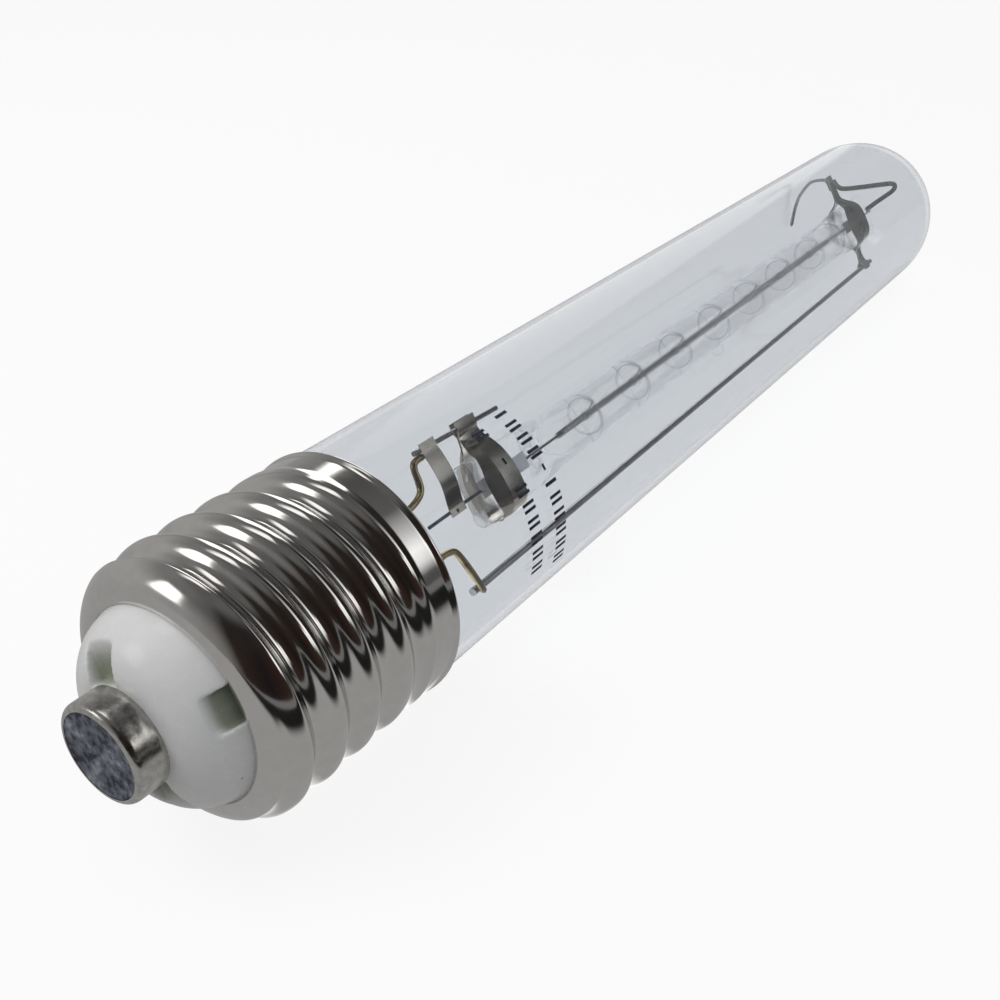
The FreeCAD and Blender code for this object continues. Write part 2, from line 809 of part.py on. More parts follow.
def make_clamps():
    """Each clamp is two formed strips: flat together at the rod, and crowned over the pinch's beads."""
    thickness = size("clamp_thickness")
    flat = thickness / 2
    crown = size("clamp_crown")
    bead = size("pinch_bead_radius")
    top = capsule_height + size("pinch_half_width")
    bottom = capsule_height - size("pinch_half_width")
    high, low = top - bead, bottom + bead
    flange = size("clamp_flange")
    short_rod = size("short_rod_height") - size("short_rod_drop") * 0.6
    long_rod = size("long_rod_height") + size("long_rod_rise")
    over_short = size("short_rod_radius") + fit_gap + flat
    over_long = size("long_rod_radius") + fit_gap + flat
    saddle = [(top + bead * 0.7, flat), (high, crown - bead * 0.25),
              (high - bead, crown), (low + bead * 0.65, crown)]
    near = [(short_rod + flange * 0.6, over_short), (short_rod - flange * 0.55, over_short),
            (short_rod - flange * 1.1, flat), *saddle,
            (low - bead * 0.8, crown - bead), (bottom - bead * 0.2, bead * 0.25)]
    far = [(size("far_clamp_top"), flat), *saddle,
           (low - bead * 0.3, crown - bead * 0.4), (bottom - bead * 0.7, flat),
           (long_rod + flange * 1.4, flat), (long_rod + flange * 0.75, over_long),
           (long_rod - flange * 0.7, over_long)]
    clamps = {"near": (near, size("near_clamp_start")), "far": (far, far_clamp_start)}
    for name, side in (("front", 1), ("back", -1)):
        for end, (outline, start) in clamps.items():
            points = [(up, front * side) for up, front in outline]
            bent_strap(f"{end}_clamp_{name}", points, thickness, start, size("clamp_width"),
                       thickness * 1.4)


def make_far_wires():
    middle = far_clamp_start + size("clamp_width") / 2
    top = size("far_clamp_top")
    link = size("link_radius")
    before_clamp = size("clamp_thickness") + link + fit_gap
    on_lead = capsule_height + size("outer_lead_radius") + link + fit_gap
    lead_end = far_end + size("far_outer_lead_reach")
    loop_front, loop_up = size("link_loop_front"), size("link_loop_up")
    bent_wire("far_link_wire", [
        (middle, top - link * 2.4, before_clamp),
        (middle + link * 2.4, top - link * 7.2, before_clamp + link * 0.6),
        (lead_end + link * 0.2, loop_up, loop_front),
        (lead_end + link * 3, loop_up / 2, loop_front * 0.9),
        (lead_end - link * 6, on_lead, link * 0.8),
        (lead_end - link * 0.8, on_lead, 0),
    ], link, link * 1.8)
    wire = size("bumper_radius")
    behind_clamp = -size("clamp_thickness") - wire - fit_gap
    reach = bulb_radius - glass - size("bumper_clearance") - wire
    # the spring leans out towards the dome and meets the glass at its free end
    arc = []
    for angle, share, lean in ((34, 0.885, 0.85), (54, 0.96, 1), (65, 0.983, 0.93), (75, 1, 0.7)):
        turn = math.radians(angle)
        out = reach * share
        arc.append((middle + size("bumper_lean") * lean, out * math.cos(turn), out * -math.sin(turn)))
    bent_wire("bumper_spring", [
        (middle, top - wire * 8.4, behind_clamp),
        (middle, top + wire * 0.9, behind_clamp),
        *arc,
    ], wire, wire * 2.2)


# Quartz capsule and what it holds

def place_capsule_body(label):
    """A body on the capsule's own axis, which lies a little below the lamp's in the mount."""
    body = new_body(label, mount_roll)
    body.setExpression("Placement.Base.y", f"{capsule_height.formula} * cos({mount_roll.formula} * 1 deg)")
    body.setExpression("Placement.Base.z", f"{capsule_height.formula} * sin({mount_roll.formula} * 1 deg)")
    document.recompute()
    return body


def pinch_pad(body, name, start, length):
    """The flat pinch seal: a thin web between two round beads."""
    bead = size("pinch_bead_radius")
    web = size("pinch_web") / 2
    centre = size("pinch_half_width") - bead
    sketch = section(body, f"{name}_section", start)
    draw_outline(sketch, [(centre, web), (-centre, web), (-centre, -web), (centre, -web)])
    document.recompute()
    extruded(body, name, sketch, length)
    beads = section(body, f"{name}_bead_section", start)
    draw_circle(beads, centre, 0, bead)
    draw_circle(beads, -centre, 0, bead)
    document.recompute()
    extruded(body, f"{name}_beads", beads, length)


def make_quartz_capsule():
    body = place_capsule_body("quartz_capsule")
    web = size("pinch_web") / 2
    shoulder = size("shoulder_length")
    round_shoulder = size("shoulder_radius")
    # the tube's ends sink into the pinches, narrower than the web
    sunk = shoulder / 3
    end_radius = web * 0.8
    turned(body, "tube", [
        (near_shoulder - sunk, 0), (near_shoulder - sunk, end_radius),
        (near_shoulder + shoulder, capsule_radius),
        (far_shoulder - shoulder, capsule_radius),
        (far_shoulder + sunk, end_radius), (far_shoulder + sunk, 0),
    ], {1: round_shoulder, 3: round_shoulder})
    pinch_pad(body, "near_pinch", near_end, pinch_length)
    pinch_pad(body, "far_pinch", far_shoulder, pinch_length)
    tip = new_sketch(body, "tip_off_section", "XZ_Plane", capsule_radius - glass / 2)
    draw_circle(tip, near_shoulder + size("tip_off_distance"), 0, size("tip_off_radius"))
    document.recompute()
    nub = body.newObject("PartDesign::Pad", "tip_off")
    nub.Profile = tip
    nub.Length = float(size("tip_off_length"))
    nub.setExpression("Length", size("tip_off_length").formula)
    nub.TaperAngle = -12
    document.recompute()
    bore_start = near_shoulder + size("bore_clearance")
    bore_end = far_shoulder - size("bore_clearance")
    bore_round = size("capsule_bore_radius")
    turned(body, "cavity", [
        (bore_start - bore_round, 0), (bore_start, bore_round),
        (bore_end, bore_round), (bore_end + bore_round, 0),
    ], {0: bore_round, 2: bore_round}, cut=True)
    foil_start = near_end + size("foil_inset")
    far_foil_start = far_end - size("foil_inset") - size("foil_length")
    half_width, half_thickness = size("foil_width") / 2, size("foil_thickness") / 2
    for name, start in (("near_foil_slot", foil_start), ("far_foil_slot", far_foil_start)):
        sketch = section(body, f"{name}_section", start)
        draw_outline(sketch, [(-half_width, -half_thickness), (half_width, -half_thickness),
                              (half_width, half_thickness), (-half_width, half_thickness)])
        document.recompute()
        extruded(body, name, sketch, size("foil_length"), cut=True)
    outer, inner = size("outer_lead_radius"), size("inner_lead_radius")
    foil_end = foil_start + size("foil_length")
    bore(body, "near_outer_bore", near_end, size("foil_inset"), [(0, 0, outer)])
    bore(body, "near_inner_bore", foil_end, bore_start - foil_end, [(0, 0, inner)])
    bore(body, "far_inner_bore", bore_end, far_foil_start - bore_end, [(0, 0, inner)])
    bore(body, "far_outer_bore", far_end - size("foil_inset"), size("foil_inset"), [(0, 0, outer)])


def make_capsule_inside():
    inset, length = size("foil_inset"), size("foil_length")
    foils = {"near_foil": near_end + inset, "far_foil": far_end - inset - length}
    half_width, half_thickness = size("foil_width") / 2, size("foil_thickness") / 2
    for label, start in foils.items():
        body = place_capsule_body(label)
        sketch = section(body, f"{label}_section", start)
        draw_outline(sketch, [(-half_width, -half_thickness), (half_width, -half_thickness),
                              (half_width, half_thickness), (-half_width, half_thickness)])
        document.recompute()
        extruded(body, f"{label}_strip", sketch, length)
    outer, inner = size("outer_lead_radius"), size("inner_lead_radius")
    grip = size("inner_lead_grip")
    round_rod("near_outer_lead", near_end - size("near_outer_lead_reach"), near_end + inset,
              outer, capsule_height)
    round_rod("far_outer_lead", far_end - inset, far_end + size("far_outer_lead_reach"),
              outer, capsule_height)
    round_rod("near_inner_lead", near_end + inset + length, filament_start + grip,
              inner, capsule_height)
    round_rod("far_inner_lead", filament_end - grip, far_end - inset - length,
              inner, capsule_height)
    body = place_capsule_body("filament")
    turned(body, "coil", [
        (filament_start, size("filament_bore_radius")),
        (filament_start, size("filament_radius")),
        (filament_end, size("filament_radius")),
        (filament_end, size("filament_bore_radius")),
    ])


def ring_shape(place, radius, wire):
    centre = FreeCAD.Vector(place, float(capsule_height), 0)
    return Part.makeTorus(radius, wire, centre, ALONG)


def make_filament_supports():
    """Each support is two turns of wire against the wall, a leg, and an eye round the filament."""
    wire = float(size("support_wire_radius"))
    # the straight parts are a hair thinner so that they meet the rings cleanly
    thin = wire * 0.9
    rim = float(size("capsule_bore_radius")) - float(size("support_clearance")) - wire
    eye = float(size("filament_radius")) + float(fit_gap) + wire
    gap = float(size("support_ring_gap"))
    down = float(capsule_height)
    count = int(float(size("support_count")))
    first = float(filament_start + size("support_near_gap"))
    last = float(filament_end - size("support_far_gap"))
    spacing = (last - first) / max(count - 1, 1)
    for number in range(count):
        place = first + number * spacing
        leg = Part.makeCylinder(thin, rim - eye, FreeCAD.Vector(place, down + eye, 0), UP)
        bridge = Part.makeCylinder(thin, gap, FreeCAD.Vector(place, down + rim, 0), ALONG)
        rings = [ring_shape(place + gap, rim, wire), ring_shape(place, eye, wire)]
        label = f"filament_support_{number + 1}"
        piece = document.addObject("Part::Feature", label)
        piece.Label = label
        piece.Shape = ring_shape(place, rim, wire).multiFuse([leg, bridge, *rings])
        set_roll(piece, mount_roll)
        pieces.append(piece)


def failed_objects():
    return [item.Name for item in document.Objects
            if any(state in ("Invalid", "Error") for state in item.State)]


def write_pieces():
    document.recompute()
    failed = failed_objects()
    if failed:
        raise RuntimeError(f"features that did not build: {failed}")
    os.makedirs("parts", exist_ok=True)
    for piece in pieces:
        shape = piece.Shape
        if shape.isNull() or not shape.isValid() or not shape.Solids:
            raise RuntimeError(f"{piece.Label} is not a valid solid")
        shape.exportStep(f"parts/{piece.Label}.step")
        print(piece.Label, len(shape.Solids), round(shape.Volume, 3))


make_contact_eyelet()
make_contact_solder()
make_insulator()
make_screw_shell()
make_basing_cement()
make_outer_bulb()
make_glass_stem()
make_exhaust_tube()
make_leads()
make_shell_solder()
make_rods()
make_near_ribbon()
make_clamps()
make_far_wires()
make_quartz_capsule()
make_capsule_inside()
make_filament_supports()
write_pieces()
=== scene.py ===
import math

import bmesh
import bpy
import numpy as np
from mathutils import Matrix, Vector, noise as field


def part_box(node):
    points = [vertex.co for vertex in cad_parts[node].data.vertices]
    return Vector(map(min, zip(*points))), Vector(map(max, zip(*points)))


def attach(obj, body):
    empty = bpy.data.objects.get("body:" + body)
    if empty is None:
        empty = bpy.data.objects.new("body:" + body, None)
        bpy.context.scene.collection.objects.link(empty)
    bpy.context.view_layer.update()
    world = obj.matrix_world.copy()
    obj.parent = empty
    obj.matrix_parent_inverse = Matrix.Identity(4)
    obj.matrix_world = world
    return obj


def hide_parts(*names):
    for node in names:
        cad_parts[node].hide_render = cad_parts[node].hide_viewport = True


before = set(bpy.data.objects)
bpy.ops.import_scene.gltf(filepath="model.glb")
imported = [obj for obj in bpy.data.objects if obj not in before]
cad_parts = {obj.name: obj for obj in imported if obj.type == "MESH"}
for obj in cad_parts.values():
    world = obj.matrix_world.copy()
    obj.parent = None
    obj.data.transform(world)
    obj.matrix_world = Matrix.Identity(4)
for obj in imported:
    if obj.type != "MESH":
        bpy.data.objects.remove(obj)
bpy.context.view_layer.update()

MM = 0.001
MOUNT_ROLL = math.radians(59)
INSULATOR_ROLL = math.radians(63)

# Sizes that the pieces share with the CAD model
CREST = 19.65
DEPTH = 1.8
PITCH = 6.35
FIRST_ROOT = 10.0
THREAD_TURNS = 4
WALL = 0.4
MOUTH = 10.8
TURN_RADIUS = 5.4
SKIRT_START = 40.4
SKIRT_RADIUS = 19.5
RIM_FLARE_START = 44.2
RIM_END = 44.8
RIM_RADIUS = 19.85
BULB_RADIUS = 19.05
NECK_RADIUS = 15.8
GLASS = 1.2
NECK_START = 24.0
NECK_END = 38.5
TUBE_START = 45.0
BULB_LENGTH = 268.0
CAPSULE_NEAR = 73.5
CAPSULE_FAR = 254.0
CAPSULE_UP = -0.9
CAPSULE_RADIUS = 4.8
CAPSULE_BORE = 3.8
PINCH_HALF_WIDTH = 5.6
PINCH_BEAD = 1.4
PINCH_WEB = 1.1
PINCH_FLAT = 16.5
PINCH_BLEND = 9.0
TIP_OFF = 160.0
FILAMENT_START = 99.7
FILAMENT_END = 227.8
SUPPORTS = 7
CONTACT_RADIUS = 7.1
CONTACT_HEIGHT = 4.5
SOLDER_RADIUS = 6.08
DOME_CENTRE = (12.42, 6.36)
DOME_RADIUS = 8.0
DOME_EDGE = 14.3


def in_mount(x, up, front):
    """A point of the wire mount, whose plane is rolled about the lamp's axis."""
    c, s = math.cos(MOUNT_ROLL), math.sin(MOUNT_ROLL)
    return (x, up * c - front * s, up * s + front * c)


def smoothstep(t):
    t = min(max(t, 0.0), 1.0)
    return t * t * (3 - 2 * t)


# Node tools

def new_material(name):
    material = bpy.data.materials.new(name)
    material.use_nodes = True
    tree = material.node_tree
    shader = next(n for n in tree.nodes if n.type == "BSDF_PRINCIPLED")
    return material, tree, shader


def calc(tree, operation, *values):
    """A Math node on numbers or sockets."""
    node = tree.nodes.new("ShaderNodeMath")
    node.operation = operation
    for socket, value in zip(node.inputs, values):
        if isinstance(value, (int, float)):
            socket.default_value = value
        else:
            tree.links.new(value, socket)
    return node.outputs[0]


def spread(tree, factor, low, high, first=0.0, last=1.0, soft=False):
    """Maps factor from first..last to low..high."""
    node = tree.nodes.new("ShaderNodeMapRange")
    if soft:
        node.interpolation_type = "SMOOTHSTEP"
    for name, value in (("From Min", first), ("From Max", last), ("To Min", low), ("To Max", high)):
        node.inputs[name].default_value = value
    tree.links.new(factor, node.inputs["Value"])
    return node.outputs["Result"]


def ramp(tree, factor, stops):
    """A colour ramp of (position, colour) stops."""
    node = tree.nodes.new("ShaderNodeValToRGB")
    band = node.color_ramp
    while len(band.elements) < len(stops):
        band.elements.new(0.5)
    for element, (position, colour) in zip(band.elements, stops):
        element.position = position
        element.color = (*colour, 1)
    tree.links.new(factor, node.inputs["Fac"])
    return node.outputs["Color"]


def mix_colour(tree, share, first, second):
    """share is a socket or a number, and first and second are sockets or plain colours."""
    node = tree.nodes.new("ShaderNodeMix")
    node.data_type = "RGBA"
    for index, value in ((0, share), (6, first), (7, second)):
        if isinstance(value, tuple):
            node.inputs[index].default_value = (*value, 1)
        elif isinstance(value, float):
            node.inputs[index].default_value = value
        else:
            tree.links.new(value, node.inputs[index])
    return node.outputs[2]


def place_mm(tree, stretch=(1, 1, 1)):
    """The place on the piece, in millimetres, stretched."""
    place = tree.nodes.new("ShaderNodeTexCoord")
    mapping = tree.nodes.new("ShaderNodeMapping")
    mapping.inputs["Scale"].default_value = tuple(1000 * s for s in stretch)
    tree.links.new(place.outputs["Object"], mapping.inputs["Vector"])
    return mapping.outputs["Vector"]


def noise(tree, scale, detail=3.0, stretch=(1, 1, 1)):
    node = tree.nodes.new("ShaderNodeTexNoise")
    node.inputs["Scale"].default_value = scale
    node.inputs["Detail"].default_value = detail
    tree.links.new(place_mm(tree, stretch), node.inputs["Vector"])
    return node.outputs["Fac"]


def cells(tree, scale):
    """Distance to the nearest of scattered points, and a random value for each point."""
    node = tree.nodes.new("ShaderNodeTexVoronoi")
    node.inputs["Scale"].default_value = scale
    tree.links.new(place_mm(tree), node.inputs["Vector"])
    apart = tree.nodes.new("ShaderNodeSeparateColor")
    tree.links.new(node.outputs["Color"], apart.inputs[0])
    return node.outputs["Distance"], apart.outputs[0]


def bump(tree, shader, height, distance_mm):
    node = tree.nodes.new("ShaderNodeBump")
    node.inputs["Distance"].default_value = distance_mm * MM
    tree.links.new(height, node.inputs["Height"])
    tree.links.new(node.outputs["Normal"], shader.inputs["Normal"])


# Materials

def metal(name, dark, light, roughness, grain=6.0, tooth=0.01, stretch=(1, 1, 1), metallic=1.0):
    """Metal with a mottled colour, uneven polish and a fine tooth."""
    material, tree, shader = new_material(name)
    shader.inputs["Metallic"].default_value = metallic
    mottle = noise(tree, grain, stretch=stretch)
    tree.links.new(ramp(tree, mottle, [(0.3, dark), (0.7, light)]), shader.inputs["Base Color"])
    tree.links.new(spread(tree, mottle, *roughness, 0.3, 0.7), shader.inputs["Roughness"])
    bump(tree, shader, noise(tree, grain * 3, 4, stretch), tooth)
    return material


def let_light_through(material, tint, straight):
    """Shadow rays, mirrored rays and a share of the rest pass straight through the glass."""
    tree = material.node_tree
    out = next(n for n in tree.nodes if n.type == "OUTPUT_MATERIAL")
    shader = next(n for n in tree.nodes if n.type == "BSDF_PRINCIPLED")
    path = tree.nodes.new("ShaderNodeLightPath")
    bent = calc(tree, "MAXIMUM", path.outputs["Is Transmission Ray"], path.outputs["Is Singular Ray"])
    mirrored = calc(tree, "MULTIPLY", path.outputs["Is Glossy Ray"], calc(tree, "SUBTRACT", 1.0, bent))
    clear = tree.nodes.new("ShaderNodeBsdfTransparent")
    clear.inputs["Color"].default_value = (*tint, 1)
    mix = tree.nodes.new("ShaderNodeMixShader")
    passed = calc(tree, "MAXIMUM", path.outputs["Is Shadow Ray"], mirrored)
    tree.links.new(calc(tree, "MAXIMUM", passed, straight), mix.inputs[0])
    tree.links.new(shader.outputs[0], mix.inputs[1])
    tree.links.new(clear.outputs[0], mix.inputs[2])
    tree.links.new(mix.outputs[0], out.inputs["Surface"])


def glass(name, colour, ior, ripple, tint, straight=0.0):
    """Clear glass with a faint ripple; straight is the share of rays that aren't bent."""
    material, tree, shader = new_material(name)
    shader.inputs["Base Color"].default_value = (*colour, 1)
    shader.inputs["Transmission Weight"].default_value = 1.0
    shader.inputs["IOR"].default_value = ior
    shader.inputs["Roughness"].default_value = 0.0
    bump(tree, shader, noise(tree, 0.12, 2, (0.25, 1, 1)), ripple)
    let_light_through(material, tint, straight)
    return material


def make_solder_look():
    """Dull dented solder: dark and pale patches with black pits."""
    material, tree, shader = new_material("solder")
    shader.inputs["Metallic"].default_value = 0.55
    broad = calc(tree, "MULTIPLY", calc(tree, "SUBTRACT", noise(tree, 0.25, 1), 0.5), 0.5)
    patches = calc(tree, "ADD", noise(tree, 0.9, 7), broad)
    colour = ramp(tree, patches, [(0.34, (0.075, 0.08, 0.1)), (0.46, (0.17, 0.185, 0.22)),
                                  (0.6, (0.23, 0.25, 0.295)), (0.76, (0.42, 0.44, 0.49))])
    tree.links.new(colour, shader.inputs["Base Color"])
    tree.links.new(spread(tree, patches, 0.8, 0.5, 0.35, 0.65), shader.inputs["Roughness"])
    bump(tree, shader, noise(tree, 3.5, 6), 0.07)
    return material


def make_cement_look():
    """Coarse tan basing cement."""
    material, tree, shader = new_material("cement")
    mottle = noise(tree, 0.9, 4)
    tree.links.new(ramp(tree, mottle, [(0.3, (0.5, 0.42, 0.3)), (0.7, (0.66, 0.58, 0.45))]),
                   shader.inputs["Base Color"])
    shader.inputs["Roughness"].default_value = 0.9
    bump(tree, shader, noise(tree, 3, 5), 0.1)
    return material


def make_porcelain():
    """White glaze with a few specks, and painted shade, greener and darker, deeper in the grooves and
    notches.
    """
    material, tree, shader = new_material("porcelain")
    cloud = ramp(tree, noise(tree, 0.16, 2), [(0.3, (0.8, 0.8, 0.785)), (0.7, (0.85, 0.85, 0.84))])
    distance, chance = cells(tree, 0.3)
    speck = calc(tree, "MULTIPLY", spread(tree, distance, 1, 0, 0.03, 0.06),
                 spread(tree, chance, 0, 0.85, 0.72, 0.74))
    specked = mix_colour(tree, speck, cloud, (0.13, 0.12, 0.11))
    mark = tree.nodes.new("ShaderNodeAttribute")
    mark.attribute_name = "notch"
    # painted shade: the grooves and notches turn dark olive the deeper they go
    recess_shade = mix_colour(tree, mark.outputs["Fac"], specked, (0.33, 0.36, 0.28))
    tree.links.new(recess_shade, shader.inputs["Base Color"])
    tree.links.new(spread(tree, noise(tree, 0.5, 2), 0.22, 0.32), shader.inputs["Roughness"])
    shader.inputs["Coat Weight"].default_value = 0.3
    shader.inputs["Coat Roughness"].default_value = 0.12
    bump(tree, shader, noise(tree, 0.35, 2), 0.04)
    return material


def make_ink():
    """Worn dark blue stamping ink."""
    material, tree, shader = new_material("stamp_ink")
    wear = noise(tree, 2.2, 4)
    tree.links.new(ramp(tree, wear, [(0.35, (0.012, 0.014, 0.035)), (0.65, (0.05, 0.055, 0.1))]),
                   shader.inputs["Base Color"])
    tree.links.new(spread(tree, wear, 0.45, 0.7), shader.inputs["Roughness"])
    bump(tree, shader, wear, 0.01)
    return material


NICKEL = metal("nickel", (0.655, 0.64, 0.625), (0.7, 0.688, 0.675), (0.08, 0.12), 0.5, 0.002)
CONTACT_NICKEL = metal("contact_nickel", (0.44, 0.43, 0.41), (0.66, 0.65, 0.62), (0.14, 0.26), 1.0, 0.01)
SOLDER = make_solder_look()
CEMENT = make_cement_look()
LEAD_WIRE = metal("lead_wire", (0.16, 0.1, 0.05), (0.62, 0.5, 0.26), (0.14, 0.24), 0.28, 0.004)
DARK_WIRE = metal("dark_wire", (0.2, 0.21, 0.23), (0.34, 0.35, 0.37), (0.15, 0.25), 0.5, 0.004)
BLACK_WIRE = metal("black_wire", (0.08, 0.08, 0.08), (0.16, 0.16, 0.155), (0.25, 0.4), 0.6, 0.006)
STRIP = metal("strip", (0.47, 0.44, 0.39), (0.66, 0.63, 0.57), (0.13, 0.22), 0.15, 0.004)
DARK_STRIP = metal("dark_strip", (0.16, 0.16, 0.155), (0.32, 0.32, 0.31), (0.25, 0.38), 0.25, 0.006)
MOLY = metal("molybdenum", (0.5, 0.52, 0.57), (0.62, 0.64, 0.68), (0.25, 0.4), 0.8, 0.006, metallic=0.5)
NAVY_WIRE = metal("navy_wire", (0.05, 0.055, 0.09), (0.12, 0.13, 0.18), (0.3, 0.4), 0.8, 0.006)
TUNGSTEN = metal("tungsten", (0.12, 0.12, 0.13), (0.24, 0.24, 0.26), (0.3, 0.45), 2.0, 0.005)
SUPPORT_WIRE = metal("support_wire", (0.2, 0.21, 0.23), (0.34, 0.35, 0.38), (0.35, 0.45), 1.0, 0.005,
                     metallic=0.35)
BULB_GLASS = glass("bulb_glass", (0.77, 0.788, 0.81), 1.3, 0.006, (0.97, 0.98, 0.985))
QUARTZ = glass("quartz", (0.98, 0.983, 0.986), 1.15, 0.008, (0.996, 0.997, 0.998), straight=0.55)
PORCELAIN = make_porcelain()
INK = make_ink()


# Mesh tools

def new_piece(name, points, faces, material, replaces=(), crease=None, keep_normals=False):
    """A smooth mesh piece from points in millimetres; crease keeps edges sharper than its angle."""
    mesh = bpy.data.meshes.new(name)
    mesh.from_pydata([tuple(c * MM for c in p) for p in points], [], faces)
    mesh.materials.append(material)
    mesh.validate()
    bm = bmesh.new()
    bm.from_mesh(mesh)
    if not keep_normals:
        bmesh.ops.recalc_face_normals(bm, faces=bm.faces)
    elif bm.calc_volume(signed=True) < 0:
        bmesh.ops.reverse_faces(bm, faces=bm.faces)
    bm.to_mesh(mesh)
    bm.free()
    mesh.polygons.foreach_set("use_smooth", [True] * len(mesh.polygons))
    if crease:
        mesh.set_sharp_from_angle(angle=math.radians(crease))
    piece = bpy.data.objects.new(name, mesh)
    bpy.context.scene.collection.objects.link(piece)
    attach(piece, "root")
    if replaces:
        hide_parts(*replaces)
    return piece


def ring_grid(rings, closed=True):
    """Points and faces of rings joined each to the next; closed joins the last to the first."""
    points = [p for ring in rings for p in ring]
    count = len(rings[0])
    faces = []
    last = len(rings) if closed else len(rings) - 1
    for i in range(last):
        a, b = i * count, (i + 1) % len(rings) * count
        for j in range(count):
            k = (j + 1) % count
            faces.append((a + j, a + k, b + k, b + j))
    return points, faces


def cap_ends(points, faces, count):
    faces.append(tuple(range(count))[::-1])
    faces.append(tuple(len(points) - count + k for k in range(count)))


def lathe(outline, segments):
    """Rings round X through an outline of (x, radius)."""
    angles = [2 * math.pi * i / segments for i in range(segments)]
    return [[(x, r * math.cos(a), r * math.sin(a)) for a in angles] for x, r in outline]


def arc(centre, radius, start, end, count):
    """Points on an arc about (x, r), angles in degrees from +x towards +r."""
    angles = [math.radians(start + (end - start) * i / count) for i in range(count + 1)]
    return [(centre[0] + radius * math.cos(a), centre[1] + radius * math.sin(a)) for a in angles]


def smooth_path(points, steps):
    """A Catmull-Rom curve through the points."""
    pts = [np.array(p, float) for p in points]
    pts = [2 * pts[0] - pts[1], *pts, 2 * pts[-1] - pts[-2]]
    out = []
    for p0, p1, p2, p3 in zip(pts, pts[1:], pts[2:], pts[3:]):
        for t in (k / steps for k in range(steps)):
            out.append(0.5 * (2 * p1 + (p2 - p0) * t + (2 * p0 - 5 * p1 + 4 * p2 - p3) * t * t
                              + (3 * p1 - p0 - 3 * p2 + p3) * t ** 3))
    return out + [pts[-2]]


def sweep(path, radius, sides):
    """Points and faces of a round wire along a path; radius may be a function of the share run."""
    path = [np.array(p, float) for p in path]
    last = len(path) - 1
    side = np.array((0.3, 0.5, 0.8))
    rings = []
    for i, p in enumerate(path):
        t = path[min(i + 1, last)] - path[max(i - 1, 0)]
        t /= np.linalg.norm(t)
        side = side - t * np.dot(side, t)
        side /= np.linalg.norm(side)
        other = np.cross(t, side)
        r = radius(i / last) if callable(radius) else radius
        rings.append([tuple(p + r * (side * math.cos(a) + other * math.sin(a)))
                      for a in (2 * math.pi * k / sides for k in range(sides))])
    points, faces = ring_grid(rings, closed=False)
    cap_ends(points, faces, sides)
    return points, faces


def wire(name, path, radius, material, replaces=(), sides=12):
    points, faces = sweep(path, radius, sides)
    return new_piece(name, points, faces, material, replaces, crease=60)


def rounded_end(radius):
    """A wire radius that rounds off at both ends."""
    def at(s):
        near = min(s, 1 - s) / 0.02
        return radius * math.sqrt(max(1 - max(1 - near, 0) ** 2, 0.05))
    return at


def formed(name, rails, thickness, material, replaces):
    """A strip of sheet through rails of (x, up, front) points, one rail for each bend across it."""
    rows = list(zip(*(smooth_path(rail, 6) for rail in rails)))
    grid = np.array([[np.array(p) for p in row] for row in rows])
    along = np.gradient(grid, axis=0)
    across = np.gradient(grid, axis=1)
    normal = np.cross(along, across)
    normal /= np.linalg.norm(normal, axis=2, keepdims=True)
    top, bottom = grid + normal * thickness / 2, grid - normal * thickness / 2
    rings = [[in_mount(*p) for p in (*a, *b[::-1])] for a, b in zip(top, bottom)]
    points, faces = ring_grid(rings, closed=False)
    cap_ends(points, faces, len(rings[0]))
    return new_piece(name, points, faces, material, replaces, crease=35)


# Screw shell: the rolled thread as a fine sheet, from the same wave as the CAD

# Radius of the two arcs that make half a wave
WAVE = (PITCH * PITCH / 4 + DEPTH * DEPTH) / (DEPTH * 4)


def groove_height(distance):
    """Height of the rolled wave above its root, at a distance from the root along the lamp."""
    half = PITCH / 2
    if distance < half / 2:
        return WAVE - math.sqrt(WAVE * WAVE - distance * distance)
    beyond = half - distance
    return DEPTH - (WAVE - math.sqrt(WAVE * WAVE - beyond * beyond))


def shell_radius(x, angle):
    """Outer radius of the shell. angle is measured from +Y towards +Z."""
    turn = ((angle - math.pi / 2) / (2 * math.pi)) % 1.0
    number = round((x - FIRST_ROOT) / PITCH - turn)
    root = number + turn
    distance = abs(x - FIRST_ROOT - PITCH * root)
    share = smoothstep((THREAD_TURNS + 0.5 - root) / 0.5)
    radius = CREST - (DEPTH - groove_height(min(distance, PITCH / 2))) * share
    if x < MOUTH + TURN_RADIUS:
        run = MOUTH + TURN_RADIUS - x
        envelope = CREST - TURN_RADIUS + math.sqrt(max(TURN_RADIUS ** 2 - run ** 2, 0))
        soft = 0.25
        h = max(soft - abs(radius - envelope), 0) / soft
        radius = min(radius, envelope) - h * h * soft / 4
    if x > SKIRT_START - 1.0:
        radius += (SKIRT_RADIUS - radius) * smoothstep((x - SKIRT_START + 1.0) / 1.1)
    if x > RIM_FLARE_START - 0.4:
        flare = smoothstep((x - RIM_FLARE_START + 0.4) / (RIM_END - RIM_FLARE_START + 0.2))
        radius += (RIM_RADIUS - SKIRT_RADIUS) * flare
    return radius


